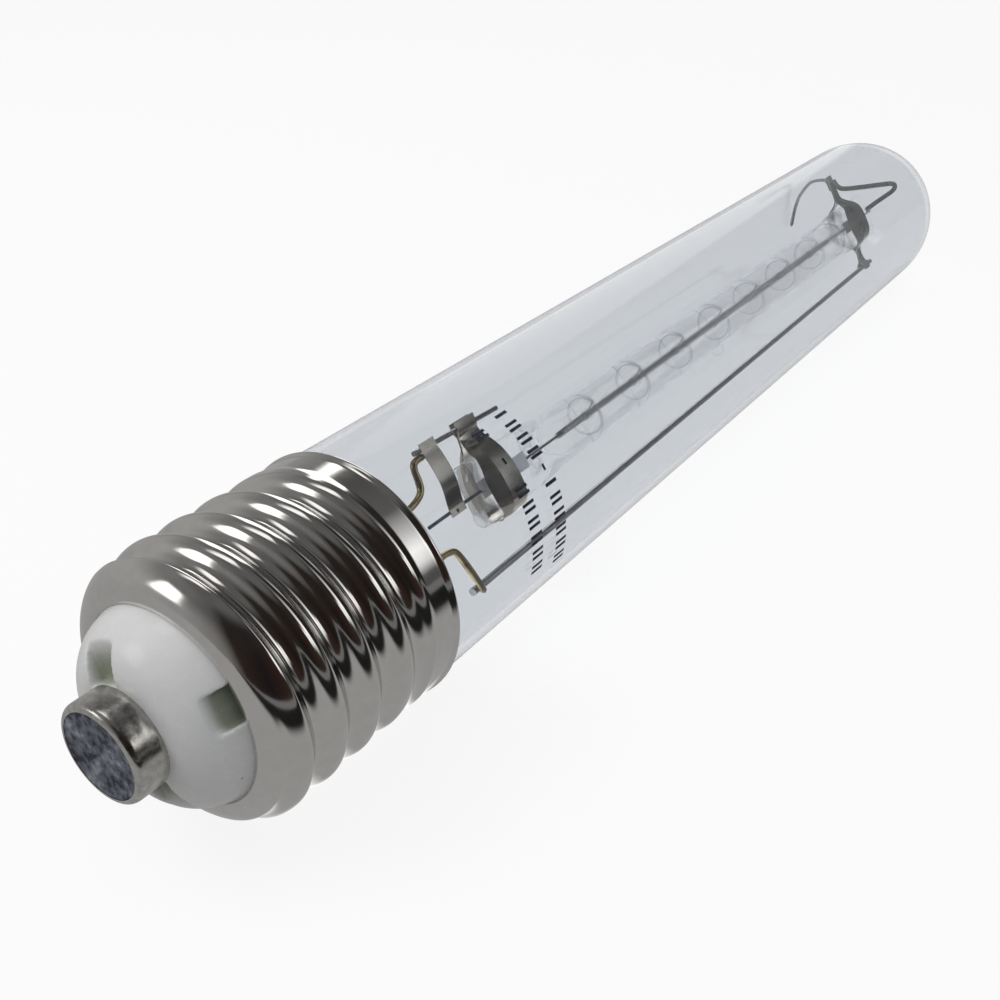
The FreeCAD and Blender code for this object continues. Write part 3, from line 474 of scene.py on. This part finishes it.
def make_shell():
    """The sheet's outer face and its inner face, one wall apart, joined at the mouth and at the rim."""
    segments, step = 240, 0.22
    fine, fine_step = 2.5, 0.06
    lip_radius, turned_in = 14.25, 15
    stations = [MOUTH + 0.02]
    while stations[-1] < MOUTH + fine:
        stations.append(stations[-1] + fine_step + 0.1 * (stations[-1] - MOUTH) / fine)
    while stations[-1] < RIM_FLARE_START:
        stations.append(stations[-1] + step)
    stations += [RIM_FLARE_START + 0.25, RIM_END - 0.12, RIM_END]
    angles = [2 * math.pi * k / segments for k in range(segments)]
    outer = [[(x, shell_radius(x, a) * math.cos(a), shell_radius(x, a) * math.sin(a)) for a in angles]
             for x in stations]
    inner = []
    for x in reversed(stations[::2]):
        ring = []
        for a in angles:
            r = shell_radius(x, a) - WALL
            if x < MOUTH + 0.4:
                r = min(r, lip_radius)
            inside = max(x, MOUTH + 0.3) if r < turned_in else x
            ring.append((inside, r * math.cos(a), r * math.sin(a)))
        inner.append(ring)
    points, faces = ring_grid(outer + inner)
    new_piece("screw_shell_fine", points, faces, NICKEL, ["screw_shell"])


# Contact, solder and porcelain

def make_contact():
    """The drawn cap, with a rounded edge and slight dents round its wall."""
    edge, segments = 0.9, 120
    bore, hole, floor_back = 6.5, 1.2, 1.1
    outline = [(0.5, SOLDER_RADIUS + 0.02), (0.0, SOLDER_RADIUS + 0.05)]
    outline += [(edge - edge * math.cos(a), CONTACT_RADIUS - edge + edge * math.sin(a))
                for a in (math.pi / 2 * k / 10 for k in range(1, 11))]
    outline += [(edge + (CONTACT_HEIGHT - edge) * k / 14, CONTACT_RADIUS) for k in range(1, 15)]
    outline += [(CONTACT_HEIGHT, bore), (floor_back, bore), (floor_back, hole), (0.5, hole)]
    rings = []
    for x, r in outline:
        ring = []
        for k in range(segments):
            a = 2 * math.pi * k / segments
            dent = field.noise(Vector((x * 0.5, r * math.cos(a) * 0.35, r * math.sin(a) * 0.35)))
            out = r - 0.09 * max(dent, 0) if r > 6.9 else r
            ring.append((x, out * math.cos(a), out * math.sin(a)))
        rings.append(ring)
    points, faces = ring_grid(rings)
    new_piece("contact_cap", points, faces, CONTACT_NICKEL, ["contact_eyelet"], crease=50)


def make_solder():
    """Hand-filled solder with an uneven, pitted face."""
    rings, segments = 70, 160
    centre, hole, back_face = 0.02, 1.15, 0.48

    def face_depth(y, z):
        broad = field.fractal(Vector((3.1, y * 0.42, z * 0.42)), 1.0, 2.0, 4)
        fine = field.fractal(Vector((8.4, y * 1.9, z * 1.9)), 0.9, 2.0, 4)
        pit = max(field.noise(Vector((1.7, y * 1.3, z * 1.3))) - 0.25, 0)
        return 0.17 + 0.11 * broad + 0.07 * fine + 0.35 * pit

    stack = []
    for i in range(rings + 1):
        r = max(SOLDER_RADIUS * (1 - i / rings), centre)
        lip = smoothstep((SOLDER_RADIUS - r) / 0.5)
        ring = []
        for k in range(segments):
            a = 2 * math.pi * k / segments
            y, z = r * math.cos(a), r * math.sin(a)
            ring.append((max(face_depth(y, z) * (0.35 + 0.65 * lip), 0.005), y, z))
        stack.append(ring)
    back = lathe([(back_face, r) for r in (centre, hole, SOLDER_RADIUS)], segments)
    points, faces = ring_grid(stack + back)
    new_piece("solder_fill", points, faces, SOLDER, ["contact_solder"])


def make_insulator():
    """The CAD moulding with its edges softened as glaze does, and marked for painted shade deeper in its
    grooves and notches.
    """
    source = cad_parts["insulator"]
    rough = bpy.data.objects.new("moulding", source.data.copy())
    bpy.context.scene.collection.objects.link(rough)
    remesh = rough.modifiers.new("remesh", "REMESH")
    remesh.mode = "VOXEL"
    remesh.voxel_size = 0.26 * MM
    remesh.adaptivity = 0.0
    graph = bpy.context.evaluated_depsgraph_get()
    mesh = bpy.data.meshes.new_from_object(rough.evaluated_get(graph))
    bpy.data.objects.remove(rough)
    bm = bmesh.new()
    bm.from_mesh(mesh)
    for _ in range(4):
        bmesh.ops.smooth_vert(bm, verts=bm.verts, factor=0.5, use_axis_x=True, use_axis_y=True,
                              use_axis_z=True)
    points = [tuple(c / MM for c in v.co) for v in bm.verts]
    faces = [tuple(v.index for v in f.verts) for f in bm.faces]
    bm.free()
    piece = new_piece("insulator_glazed", points, faces, PORCELAIN, ["insulator"])
    recess_shade = piece.data.attributes.new("notch", "FLOAT", "POINT")
    groove_half, groove_end = 3.0, 12.6
    notch_half, notch_start = 2.8, 12.0
    c, s = math.cos(INSULATOR_ROLL), math.sin(INSULATOR_ROLL)
    shares = []
    for x, y, z in points:
        radius = math.hypot(y, z)
        up, front = y * c + z * s, z * c - y * s
        lift = DOME_RADIUS ** 2 - (radius - DOME_CENTRE[1]) ** 2
        surface = DOME_CENTRE[0] - math.sqrt(max(lift, 0)) if radius < DOME_EDGE else MOUTH
        # painted shade grows with depth below the dome's face, in the groove and the notches
        sunk = smoothstep((x - surface - 0.15) / 2.0)
        in_groove = abs(front) < groove_half and radius < groove_end
        in_notch = abs(front) > notch_start and abs(up) < notch_half
        shares.append(sunk if in_groove or in_notch else 0.0)
    recess_shade.data.foreach_set("value", shares)


# Bulb, capsule and filament

def make_bulb():
    """The neck, the flare, the long tube and the dome, with an inner wall."""
    rise, flare = BULB_RADIUS - NECK_RADIUS, TUBE_START - NECK_END
    dome = BULB_LENGTH - BULB_RADIUS
    outline = [(NECK_START, NECK_RADIUS), (NECK_END, NECK_RADIUS)]
    outline += [(NECK_END + flare * k / 15, NECK_RADIUS + rise * smoothstep(k / 15)) for k in range(1, 16)]
    outline += [(TUBE_START + (dome - TUBE_START) * k / 40, BULB_RADIUS) for k in range(1, 40)]
    inner = [(x, r - GLASS) for x, r in outline]
    # the domes stop just short of the axis, so that their last rings have some width
    outline += arc((dome, 0), BULB_RADIUS, 90, 0.03, 40)
    inner += arc((dome, 0), BULB_RADIUS - GLASS, 90, 0.03, 40)
    points, faces = ring_grid(lathe(outline + inner[::-1], 160))
    new_piece("outer_bulb_smooth", points, faces, BULB_GLASS, ["outer_bulb"])


def capsule_section(round_share, count=64):
    """A section of (up, front) that runs from a pinch's web and beads, at 0, to a round tube, at 1."""
    ring = []
    centre = PINCH_HALF_WIDTH - PINCH_BEAD
    for k in range(count):
        a = 2 * math.pi * k / count
        c, s = math.cos(a), math.sin(a)
        up = PINCH_HALF_WIDTH * math.copysign(abs(c) ** 0.9, c)
        beyond = abs(up) - centre
        bulge = math.sqrt(max(PINCH_BEAD ** 2 - beyond ** 2, 0))
        thick = bulge if beyond >= 0 else max(PINCH_WEB, bulge)
        front = math.copysign(thick, s) if abs(s) > 1e-9 else 0.0
        ring.append((up + (CAPSULE_RADIUS * c - up) * round_share,
                     front + (CAPSULE_RADIUS * s - front) * round_share))
    return ring


def make_capsule():
    """The quartz tube between its two pinches, with its cavity, and the stub of its tip-off."""
    edge = 0.8
    # (x, share of the way from a pinch to a round tube, size of the section)
    near_end = []
    for k in range(6):
        a = math.pi / 2 * k / 5
        near_end.append((CAPSULE_NEAR + edge * (1 - math.cos(a)), 0.0, 0.86 + 0.14 * math.sin(a)))
    near_end += [(CAPSULE_NEAR + edge + (PINCH_FLAT - edge) * k / 6, 0.0, 1.0) for k in range(1, 7)]
    near_end += [(CAPSULE_NEAR + PINCH_FLAT + PINCH_BLEND * k / 20, smoothstep(k / 20), 1.0)
                 for k in range(1, 21)]
    far_end = [(CAPSULE_NEAR + CAPSULE_FAR - x, share, size) for x, share, size in near_end[::-1]]
    start, end = near_end[-1][0], far_end[0][0]
    tube = [(start + (end - start) * k / 70, 1.0, 1.0) for k in range(1, 70)]
    rings = [[in_mount(x, CAPSULE_UP + u * size, w * size) for u, w in capsule_section(share)]
             for x, share, size in near_end + tube + far_end]
    points, faces = ring_grid(rings, closed=False)
    cap_ends(points, faces, len(rings[0]))
    # the cavity is an inner skin, whose faces look inward
    start, end = start + 1, end - 1
    cavity = [(start - CAPSULE_BORE * math.cos(a), CAPSULE_BORE * math.sin(a))
              for a in (math.pi / 2 * k / 12 for k in range(1, 13))]
    cavity += [(start + (end - start) * k / 30, CAPSULE_BORE) for k in range(1, 31)]
    cavity += [(end + CAPSULE_BORE * math.sin(a), CAPSULE_BORE * math.cos(a))
               for a in (math.pi / 2 * k / 12 for k in range(1, 12))]
    base, sides = len(points), 48
    turns = [2 * math.pi * k / sides for k in range(sides)]
    skin = [[in_mount(x, CAPSULE_UP + r * math.cos(a), r * math.sin(a)) for a in turns] for x, r in cavity]
    more, more_faces = ring_grid(skin, closed=False)
    cap_ends(more, more_faces, sides)
    points += more
    faces += [tuple(base + i for i in face)[::-1] for face in more_faces]
    new_piece("quartz_capsule_smooth", points, faces, QUARTZ, ["quartz_capsule"],
              keep_normals=True)
    # the sealed stub through which the capsule was filled
    root, tip = CAPSULE_RADIUS - 0.1, CAPSULE_RADIUS + 1.7
    stub = [in_mount(TIP_OFF, CAPSULE_UP - root - (tip - root) * k / 12, 0) for k in range(13)]
    wire("capsule_tip_off", stub, lambda s: 1.3 * math.sqrt(max(1 - 0.3 * s - 0.68 * s ** 6, 0.02)),
         QUARTZ, sides=20)


def make_filament():
    """The coil, as a wire of 190 turns."""
    turns, per_turn = 190, 12
    radius, thick = 0.49, 0.13
    path = []
    for k in range(turns * per_turn + 1):
        a = 2 * math.pi * k / per_turn
        path.append(in_mount(FILAMENT_START + (FILAMENT_END - FILAMENT_START) * k / (turns * per_turn),
                             CAPSULE_UP + radius * math.cos(a), radius * math.sin(a)))
    wire("filament_coil", path, thick, TUNGSTEN, ["filament"], sides=6)


def make_supports():
    """Each support is a wire that winds round the capsule's wall, comes in, and loops the coil."""
    rim, eye, thick = 3.6, 0.79, 0.13
    # angles in degrees: where the winding starts, how far it goes, the step to the loop, and the loop
    start, wind, gap, loop = -35, 450, 60, 400
    for number in range(1, SUPPORTS + 1):
        node = f"filament_support_{number}"
        near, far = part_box(node)
        x = (near[0] + far[0]) / 2 / MM
        path = []
        for k in range(49):
            a = math.radians(start + wind * k / 48)
            path.append((x - 0.25 + 0.55 * k / 48, rim * math.cos(a), rim * math.sin(a)))
        a = math.radians(start + wind)
        path += [(x + 0.3, r * math.cos(a), r * math.sin(a)) for r in (3.1, 2.3, 1.5)]
        for k in range(17):
            a = math.radians(start + wind + gap + loop * k / 16)
            path.append((x + 0.3 - 0.3 * k / 16, eye * math.cos(a), eye * math.sin(a)))
        path = [in_mount(px, CAPSULE_UP + up, front) for px, up, front in path]
        wire(f"support_ring_{number}", path, thick, SUPPORT_WIRE, [node], sides=8)


# Wire mount

CLAMP_SHEET = 0.25
RIBBON_SHEET = 0.16
LEAD_RADIUS = 0.58
LINK_RADIUS = 0.62
BUMPER_RADIUS = 0.45


def mounted(points, steps):
    """A smooth path through points of the mount."""
    return [in_mount(*p) for p in smooth_path(points, steps)]


def make_leads():
    """The two bent wires from the stem to the rods."""
    short = ((46.0, 3.2, 0), (52.0, 3.2, 0), (58.5, 3.2, 0), (61.4, 3.35, 0), (63.6, 3.9, 0),
             (64.8, 4.7, 0), (65.25, 6.0, 0), (65.4, 7.6, 0), (65.9, 8.75, 0), (67.0, 9.05, 0),
             (68.4, 9.06, 0))
    long = ((46.0, -3.2, 0), (52.0, -3.2, 0), (55.5, -3.6, 0.3), (58.5, -4.9, 0.9), (60.6, -5.5, 1.28),
            (62.5, -5.6, 1.28), (64.2, -6.0, 1.28), (65.0, -7.2, 1.28), (65.5, -9.4, 1.28),
            (66.0, -11.9, 1.28), (66.4, -14.7, 1.28))
    for name, points in (("short_lead", short), ("long_lead", long)):
        wire(f"{name}_smooth", mounted(points, 6), rounded_end(LEAD_RADIUS), LEAD_WIRE,
             [f"{name}_wire"], 16)


def make_ribbon():
    """The bulged strip from the short rod to the capsule's lead."""
    profile = ((11.05, 0.56), (10.3, 0.56), (9.3, 0.62), (7.9, 0.95), (6.2, 1.2), (4.4, 1.28),
               (2.7, 1.08), (1.2, 0.72), (-0.1, 0.42), (-0.9, 0.4), (-1.75, 0.42))
    rails = [[(x, up, front) for up, front in profile] for x in (68.0, 69.8, 71.7)]
    formed("ribbon_strip", rails, RIBBON_SHEET, STRIP, ["near_ribbon"])


def make_near_clamps():
    """Each half is a pan: a broad face over the pinch, with a sloped wall on the side of the base."""
    face = ((10.9, 0.6), (9.9, 0.6), (9.1, 0.5), (8.4, 0.2), (7.0, 0.85), (5.4, 2.2), (3.9, 3.2),
            (2.2, 3.85), (0.2, 4.3), (-2.3, 4.4), (-4.2, 4.2), (-5.3, 3.6), (-6.3, 2.6), (-6.85, 1.3),
            (-6.75, 0.3))
    foot = ((10.9, 0.6), (9.9, 0.6), (9.1, 0.5), (8.4, 0.18), (7.0, 0.3), (5.4, 0.75), (4.2, 1.6),
            (2.4, 1.75), (0.4, 1.55), (-1.9, 1.6), (-4.0, 1.8), (-5.3, 2.0), (-6.2, 1.9), (-6.8, 1.1),
            (-6.75, 0.3))
    for name, side in (("front", 1), ("back", -1)):
        rails = [[(x, up, front * side) for up, front in outline]
                 for x, outline in ((77.2, foot), (78.3, face), (80.2, face), (82.2, face))]
        formed(f"near_clamp_{name}_pan", rails, CLAMP_SHEET, STRIP,
               [f"near_clamp_{name}"])


def make_far_clamps():
    """Leaf-shaped strips: narrow at the top and at the neck, broad over the pinch."""
    start, width, wall = 240.0, 4.8, 0.9
    middle = start + width / 2
    # (up, front of the foot on the side of the base, front of the face, part of the width)
    profile = ((13.0, 0.13, 0.13, 0.5), (10.5, 0.13, 0.13, 0.5), (8.2, 0.13, 0.13, 0.55),
               (6.4, 0.16, 0.25, 0.7), (5.2, 0.9, 1.4, 0.85), (4.0, 1.6, 2.9, 0.95),
               (2.4, 1.62, 3.8, 1.0), (0.0, 1.5, 4.1, 1.0), (-3.0, 1.6, 4.05, 1.0),
               (-4.8, 1.75, 3.4, 0.9), (-5.9, 1.4, 2.0, 0.75), (-6.9, 0.5, 0.6, 0.6),
               (-8.0, 0.15, 0.15, 0.5), (-9.6, 0.15, 0.15, 0.5), (-10.9, 0.3, 0.3, 0.6),
               (-11.6, 0.83, 0.83, 0.7), (-13.1, 0.83, 0.83, 0.7))
    for name, side in (("front", 1), ("back", -1)):
        rails = [[(middle - part * width / 2, up, foot * side) for up, foot, face, part in profile]]
        rails += [[(middle + edge * part * width / 2 + lean, up, face * side)
                   for up, foot, face, part in profile] for edge, lean in ((-1, wall), (0, 0), (1, 0))]
        formed(f"far_clamp_{name}_leaf", rails, CLAMP_SHEET, DARK_STRIP,
               [f"far_clamp_{name}"])


def make_far_wires():
    """The link from the far clamp to the capsule's lead, and the spring that leans on the bulb."""
    x = 242.4
    wire("link_smooth", mounted([
        (x, 11.7, 0.83), (243.1, 9.9, 0.9), (244.6, 8.4, 1.5), (249.0, 6.6, 4.2), (255.0, 4.7, 7.0),
        (258.6, 3.6, 8.1), (259.9, 2.6, 8.1), (259.3, 1.7, 7.2), (257.0, 0.9, 3.8), (255.8, 0.2, 1.2),
        (256.6, -0.04, 0.2), (258.0, -0.04, 0)], 7),
        rounded_end(LINK_RADIUS), BLACK_WIRE, ["far_link_wire"])
    reach = BULB_RADIUS - GLASS - 0.15 - BUMPER_RADIUS
    points = [(x, 9.2, -0.72), (x, 11.4, -0.72), (x + 0.2, 12.6, -1.5)]
    for angle, share, lean in ((22, 0.84, 2.5), (34, 0.9, 4.9), (46, 0.945, 5.8), (56, 0.968, 5.8),
                               (65, 0.983, 5.4), (75, 1, 4.1)):
        a = math.radians(angle)
        points.append((x + lean, reach * share * math.cos(a), -reach * share * math.sin(a)))
    wire("bumper_smooth", mounted(points, 7), rounded_end(BUMPER_RADIUS), DARK_WIRE,
         ["bumper_spring"])


def make_weld():
    """A small bead where the capsule's lead meets the strip."""
    path = [in_mount(69.2 + k * 0.14, CAPSULE_UP - 0.28, 0.18) for k in range(8)]
    radius = [0.12, 0.3, 0.42, 0.47, 0.46, 0.4, 0.28, 0.12]
    wire("lead_weld", path, lambda s: radius[round(s * 7)], NAVY_WIRE)


# Printed marks: plain bars where the lamp has its stamp

# A dash, a bar, a gap and a pair, with each bar as (shift, width, share of the height)
BAR_KINDS = ([(0, 3.2, 0.18)], [(0, 1.7, 1)], [], [(-1.5, 1.5, 1), (1.5, 1.5, 1)])
# The rows, as (x, angle of the first mark, kinds); each mark has the same height and step in degrees
STAMP_ROWS = ((70.6, 114.5, (1, 3, 3, 3, 0, 1, 3, 3, 3, 3, 3)),
              (64.1, 117.5, (3, 2, 0, 2, 3, 3, 3, 3, 3, 3)))
STAMP_HEIGHT = 2.8
STAMP_STEP = 7.7


def add_film(points, faces, x, angle, wide, tall):
    """A thin rounded film on the glass, wide in degrees round the bulb and tall in millimetres."""
    across, base = 6, len(points)
    for r in (BULB_RADIUS + 0.012, BULB_RADIUS + 0.03):
        for i in range(across + 1):
            a = math.radians(angle + wide * (i / across - 0.5))
            for dx in (-tall / 2, tall / 2):
                points.append((x + dx, r * math.cos(a), r * math.sin(a)))
    size = (across + 1) * 2
    for i in range(across):
        a, b = base + i * 2, base + i * 2 + size
        faces += [(a, a + 2, a + 3, a + 1), (b, b + 1, b + 3, b + 2),
                  (a, b, b + 2, a + 2), (a + 1, a + 3, b + 3, b + 1)]
    end = base + across * 2
    faces += [(base, base + 1, base + size + 1, base + size), (end, end + size, end + size + 1, end + 1)]


def make_marks():
    """Two rows of plain bars round the bulb, as thin films on the glass."""
    points, faces = [], []
    for x, start, kinds in STAMP_ROWS:
        for number, kind in enumerate(kinds):
            for shift, wide, share in BAR_KINDS[kind]:
                angle = start + STAMP_STEP * number + shift
                add_film(points, faces, x + STAMP_HEIGHT / 2, angle, wide, STAMP_HEIGHT * share)
    new_piece("stamp_bars", points, faces, INK)


make_shell()
make_contact()
make_solder()
make_insulator()
make_bulb()
make_capsule()
make_filament()
make_supports()
make_leads()
make_ribbon()
make_near_clamps()
make_far_clamps()
make_far_wires()
make_weld()
make_marks()

CAD_LOOKS = {
    "basing_cement": CEMENT, "glass_stem": BULB_GLASS, "exhaust_tube": BULB_GLASS,
    "contact_lead": DARK_WIRE, "shell_lead": DARK_WIRE, "shell_solder": SOLDER,
    "short_rod": DARK_WIRE, "long_rod": DARK_WIRE, "near_foil": MOLY, "far_foil": MOLY,
    "near_outer_lead": NAVY_WIRE, "far_outer_lead": MOLY, "near_inner_lead": TUNGSTEN,
    "far_inner_lead": TUNGSTEN,
}
for node, look in CAD_LOOKS.items():
    for material_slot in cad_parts[node].material_slots:
        material_slot.material = look


# Floor, light and camera

def by_ray(tree, out, camera_look, metal_look, glass_look, plain_look):
    """A look each for the camera and rays through glass, for metal, for smooth glass, and for the rest."""
    path = tree.nodes.new("ShaderNodeLightPath")
    seen = calc(tree, "MAXIMUM", path.outputs["Is Camera Ray"], path.outputs["Is Transmission Ray"])
    look = plain_look
    for share, other in ((path.outputs["Is Glossy Ray"], metal_look),
                         (path.outputs["Is Singular Ray"], glass_look), (seen, camera_look)):
        mix = tree.nodes.new("ShaderNodeMixShader")
        tree.links.new(share, mix.inputs[0])
        tree.links.new(look, mix.inputs[1])
        tree.links.new(other, mix.inputs[2])
        look = mix.outputs[0]
    tree.links.new(look, out.inputs["Surface"])


def make_floor():
    """White to the camera, grey as a source of light, and with painted reflections: glowing patches that
    only metal mirrors.
    """
    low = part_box("screw_shell")[0][2] - 0.00005
    reach = 3.0
    corners = [(-reach, -reach, low), (reach, -reach, low), (reach, reach, low), (-reach, reach, low)]
    mesh = bpy.data.meshes.new("floor")
    mesh.from_pydata(corners, [], [(0, 1, 2, 3)])
    floor = bpy.data.objects.new("floor", mesh)
    bpy.context.scene.collection.objects.link(floor)
    material, tree, shader = new_material("floor")
    shader.inputs["Base Color"].default_value = (0.5, 0.5, 0.5, 1)
    shader.inputs["Roughness"].default_value = 0.9
    shader.inputs["Specular IOR Level"].default_value = 0.0
    pale = tree.nodes.new("ShaderNodeBsdfDiffuse")
    pale.inputs["Color"].default_value = (0.95, 0.95, 0.95, 1)
    white = tree.nodes.new("ShaderNodeEmission")
    view = tree.nodes.new("ShaderNodeMixShader")
    view.inputs[0].default_value = 0.88
    tree.links.new(pale.outputs[0], view.inputs[1])
    tree.links.new(white.outputs[0], view.inputs[2])
    # painted reflections: to metal the floor glows white under the base, grey round it, and dark where the
    # room begins
    place = tree.nodes.new("ShaderNodeTexCoord")
    apart = tree.nodes.new("ShaderNodeSeparateXYZ")
    tree.links.new(place.outputs["Object"], apart.inputs[0])
    x, y = apart.outputs[:2]
    far = spread(tree, y, 0.2, 0.015, -0.27, -0.21, soft=True)
    beside = spread(tree, y, 0, 0.38, -0.085, -0.055, soft=True)
    under = calc(tree, "MULTIPLY", spread(tree, y, 0, 1.1, -0.015, -0.009, soft=True),
                 spread(tree, y, 1, 0, 0.0, 0.006, soft=True))
    under = calc(tree, "MULTIPLY", under, spread(tree, x, 0, 1, 0.012, 0.022, soft=True))
    # the glow of these painted reflections, seen only in what metal mirrors
    mirrored = tree.nodes.new("ShaderNodeEmission")
    mirrored.inputs["Color"].default_value = (1.0, 0.985, 0.97, 1)
    tree.links.new(calc(tree, "ADD", calc(tree, "ADD", far, beside), under), mirrored.inputs["Strength"])
    soft = tree.nodes.new("ShaderNodeEmission")
    soft.inputs["Color"].default_value = (0.55, 0.56, 0.58, 1)
    out = next(n for n in tree.nodes if n.type == "OUTPUT_MATERIAL")
    by_ray(tree, out, view.outputs[0], mirrored.outputs[0], soft.outputs[0], shader.outputs[0])
    mesh.materials.append(material)


# Soft lamps that metal and glass reflect: azimuth, elevation, softness in degrees, and strength
REFLECTED_LAMPS = (
    ((132, 150), (17, 38), 5.0, 2.0),
    ((22, 44), (-12, 35), 3.0, 2.0),
    ((-72, -62), (18, 32), 4.0, 0.8),
    ((0, 10), (4, 22), 5.0, 0.3),
    ((30, 110), (62, 82), 6.0, 0.7),
)
# The room round the lamp, as (azimuth, colour)
ROOM = ((-180, (0.2, 0.195, 0.19)), (-163, (0.03, 0.02, 0.015)), (-125, (0.012, 0.01, 0.01)),
        (-100, (0.03, 0.016, 0.012)), (-70, (0.036, 0.025, 0.02)), (-42, (0.01, 0.009, 0.009)),
        (2, (0.03, 0.025, 0.022)), (20, (0.16, 0.155, 0.15)), (50, (0.28, 0.275, 0.27)),
        (80, (0.42, 0.414, 0.405)), (120, (0.42, 0.414, 0.405)), (152, (0.33, 0.325, 0.32)),
        (180, (0.2, 0.195, 0.19)))
# A long strip of light over the lamp, as (angle about X from +Y towards +Z, level)
STRIP_LIGHT = ((-180, 0.3), (-150, 0.25), (0, 0.34), (45, 0.16), (70, 0.09), (110, 0.14), (134, 0.9),
               (148, 1.6), (160, 1.2), (170, 0.12), (180, 0.1))
# How much of the lit room smooth glass mirrors, over a plain pale grey
GLASS_SHARE = 0.3


def make_world():
    """White to the camera, a dark room with lamps to metal, and a soft sky as a source of light."""
    world = bpy.data.worlds.new("studio")
    bpy.context.scene.world = world
    world.use_nodes = True
    tree = world.node_tree
    tree.nodes.clear()
    out = tree.nodes.new("ShaderNodeOutputWorld")
    place = tree.nodes.new("ShaderNodeTexCoord")
    apart = tree.nodes.new("ShaderNodeSeparateXYZ")
    tree.links.new(place.outputs["Generated"], apart.inputs[0])
    x, y, z = apart.outputs

    def degrees(value):
        return calc(tree, "MULTIPLY", value, 180 / math.pi)

    def window(value, low, high, soft):
        rise = spread(tree, value, 0, 1, low - soft, low + soft, soft=True)
        fall = spread(tree, value, 1, 0, high - soft, high + soft, soft=True)
        return calc(tree, "MULTIPLY", rise, fall)

    def round_ramp(value, stops):
        return ramp(tree, spread(tree, value, 0, 1, -180, 180),
                    [((angle + 180) / 360, colour) for angle, colour in stops])

    azimuth = degrees(calc(tree, "ARCTAN2", y, x))
    elevation = degrees(calc(tree, "ARCSINE", z))
    about_x = degrees(calc(tree, "ARCTAN2", z, y))
    shade = spread(tree, elevation, 0, 0.5, 15, 48, soft=True)
    ceiling = spread(tree, elevation, 0, 1, 52, 72, soft=True)
    room = mix_colour(tree, shade, round_ramp(azimuth, ROOM), (0.02, 0.019, 0.018))
    room = mix_colour(tree, ceiling, room, (0.12, 0.12, 0.12))
    strip = round_ramp(about_x, [(angle, (level, level, level)) for angle, level in STRIP_LIGHT])
    strip = mix_colour(tree, window(x, 0.47, 0.68, 0.05), room, strip)
    lamps = 0.0
    for turns, rises, soft, strength in REFLECTED_LAMPS:
        lamp = calc(tree, "MULTIPLY", window(azimuth, *turns, soft), window(elevation, *rises, soft))
        lamps = calc(tree, "ADD", lamps, calc(tree, "MULTIPLY", lamp, strength))
    lit = mix_colour(tree, calc(tree, "MINIMUM", lamps, 1.0), strip, (2.0, 1.97, 1.93))
    mirror = tree.nodes.new("ShaderNodeBackground")
    tree.links.new(lit, mirror.inputs["Color"])
    soft = tree.nodes.new("ShaderNodeBackground")
    tree.links.new(mix_colour(tree, GLASS_SHARE, (0.52, 0.53, 0.55), lit), soft.inputs["Color"])
    sky = tree.nodes.new("ShaderNodeBackground")
    sky.inputs["Color"].default_value = (0.97, 0.985, 1.0, 1)
    tree.links.new(spread(tree, elevation, 0.18, 0.9, 15, 75, soft=True), sky.inputs["Strength"])
    white = tree.nodes.new("ShaderNodeBackground")
    white.inputs["Color"].default_value = (1, 1, 1, 1)
    by_ray(tree, out, white.outputs[0], mirror.outputs[0], soft.outputs[0], sky.outputs[0])


def area_lamp(name, place, target, size_m, watts):
    """A soft lamp that metal doesn't mirror."""
    data = bpy.data.lights.new(name, "AREA")
    data.shape = "RECTANGLE"
    data.size, data.size_y = size_m
    data.energy = watts
    lamp = bpy.data.objects.new(name, data)
    lamp.location = place
    lamp.rotation_euler = (Vector(target) - Vector(place)).to_track_quat("-Z", "Y").to_euler()
    lamp.visible_glossy = False
    bpy.context.scene.collection.objects.link(lamp)


# The camera that was fitted to the photograph: place in metres, turns in degrees, lens in millimetres
CAMERA_PLACE = (-0.060306, -0.098553, 0.097764)
CAMERA_TURNS = (59.29, 0, -55.546)
CAMERA_SENSOR = 36
CAMERA_LENS = 43.117


def make_camera():
    data = bpy.data.cameras.new("camera")
    data.sensor_width = CAMERA_SENSOR
    data.lens = CAMERA_LENS
    data.clip_start = 0.001
    camera = bpy.data.objects.new("camera", data)
    camera.location = CAMERA_PLACE
    camera.rotation_euler = [math.radians(a) for a in CAMERA_TURNS]
    bpy.context.scene.collection.objects.link(camera)
    bpy.context.scene.camera = camera


make_floor()
make_world()
area_lamp("key", (-0.2, 0.28, 0.45), (0.03, 0, 0), (0.3, 0.25), 1.1)
make_camera()
bpy.context.scene.view_settings.view_transform = "Standard"
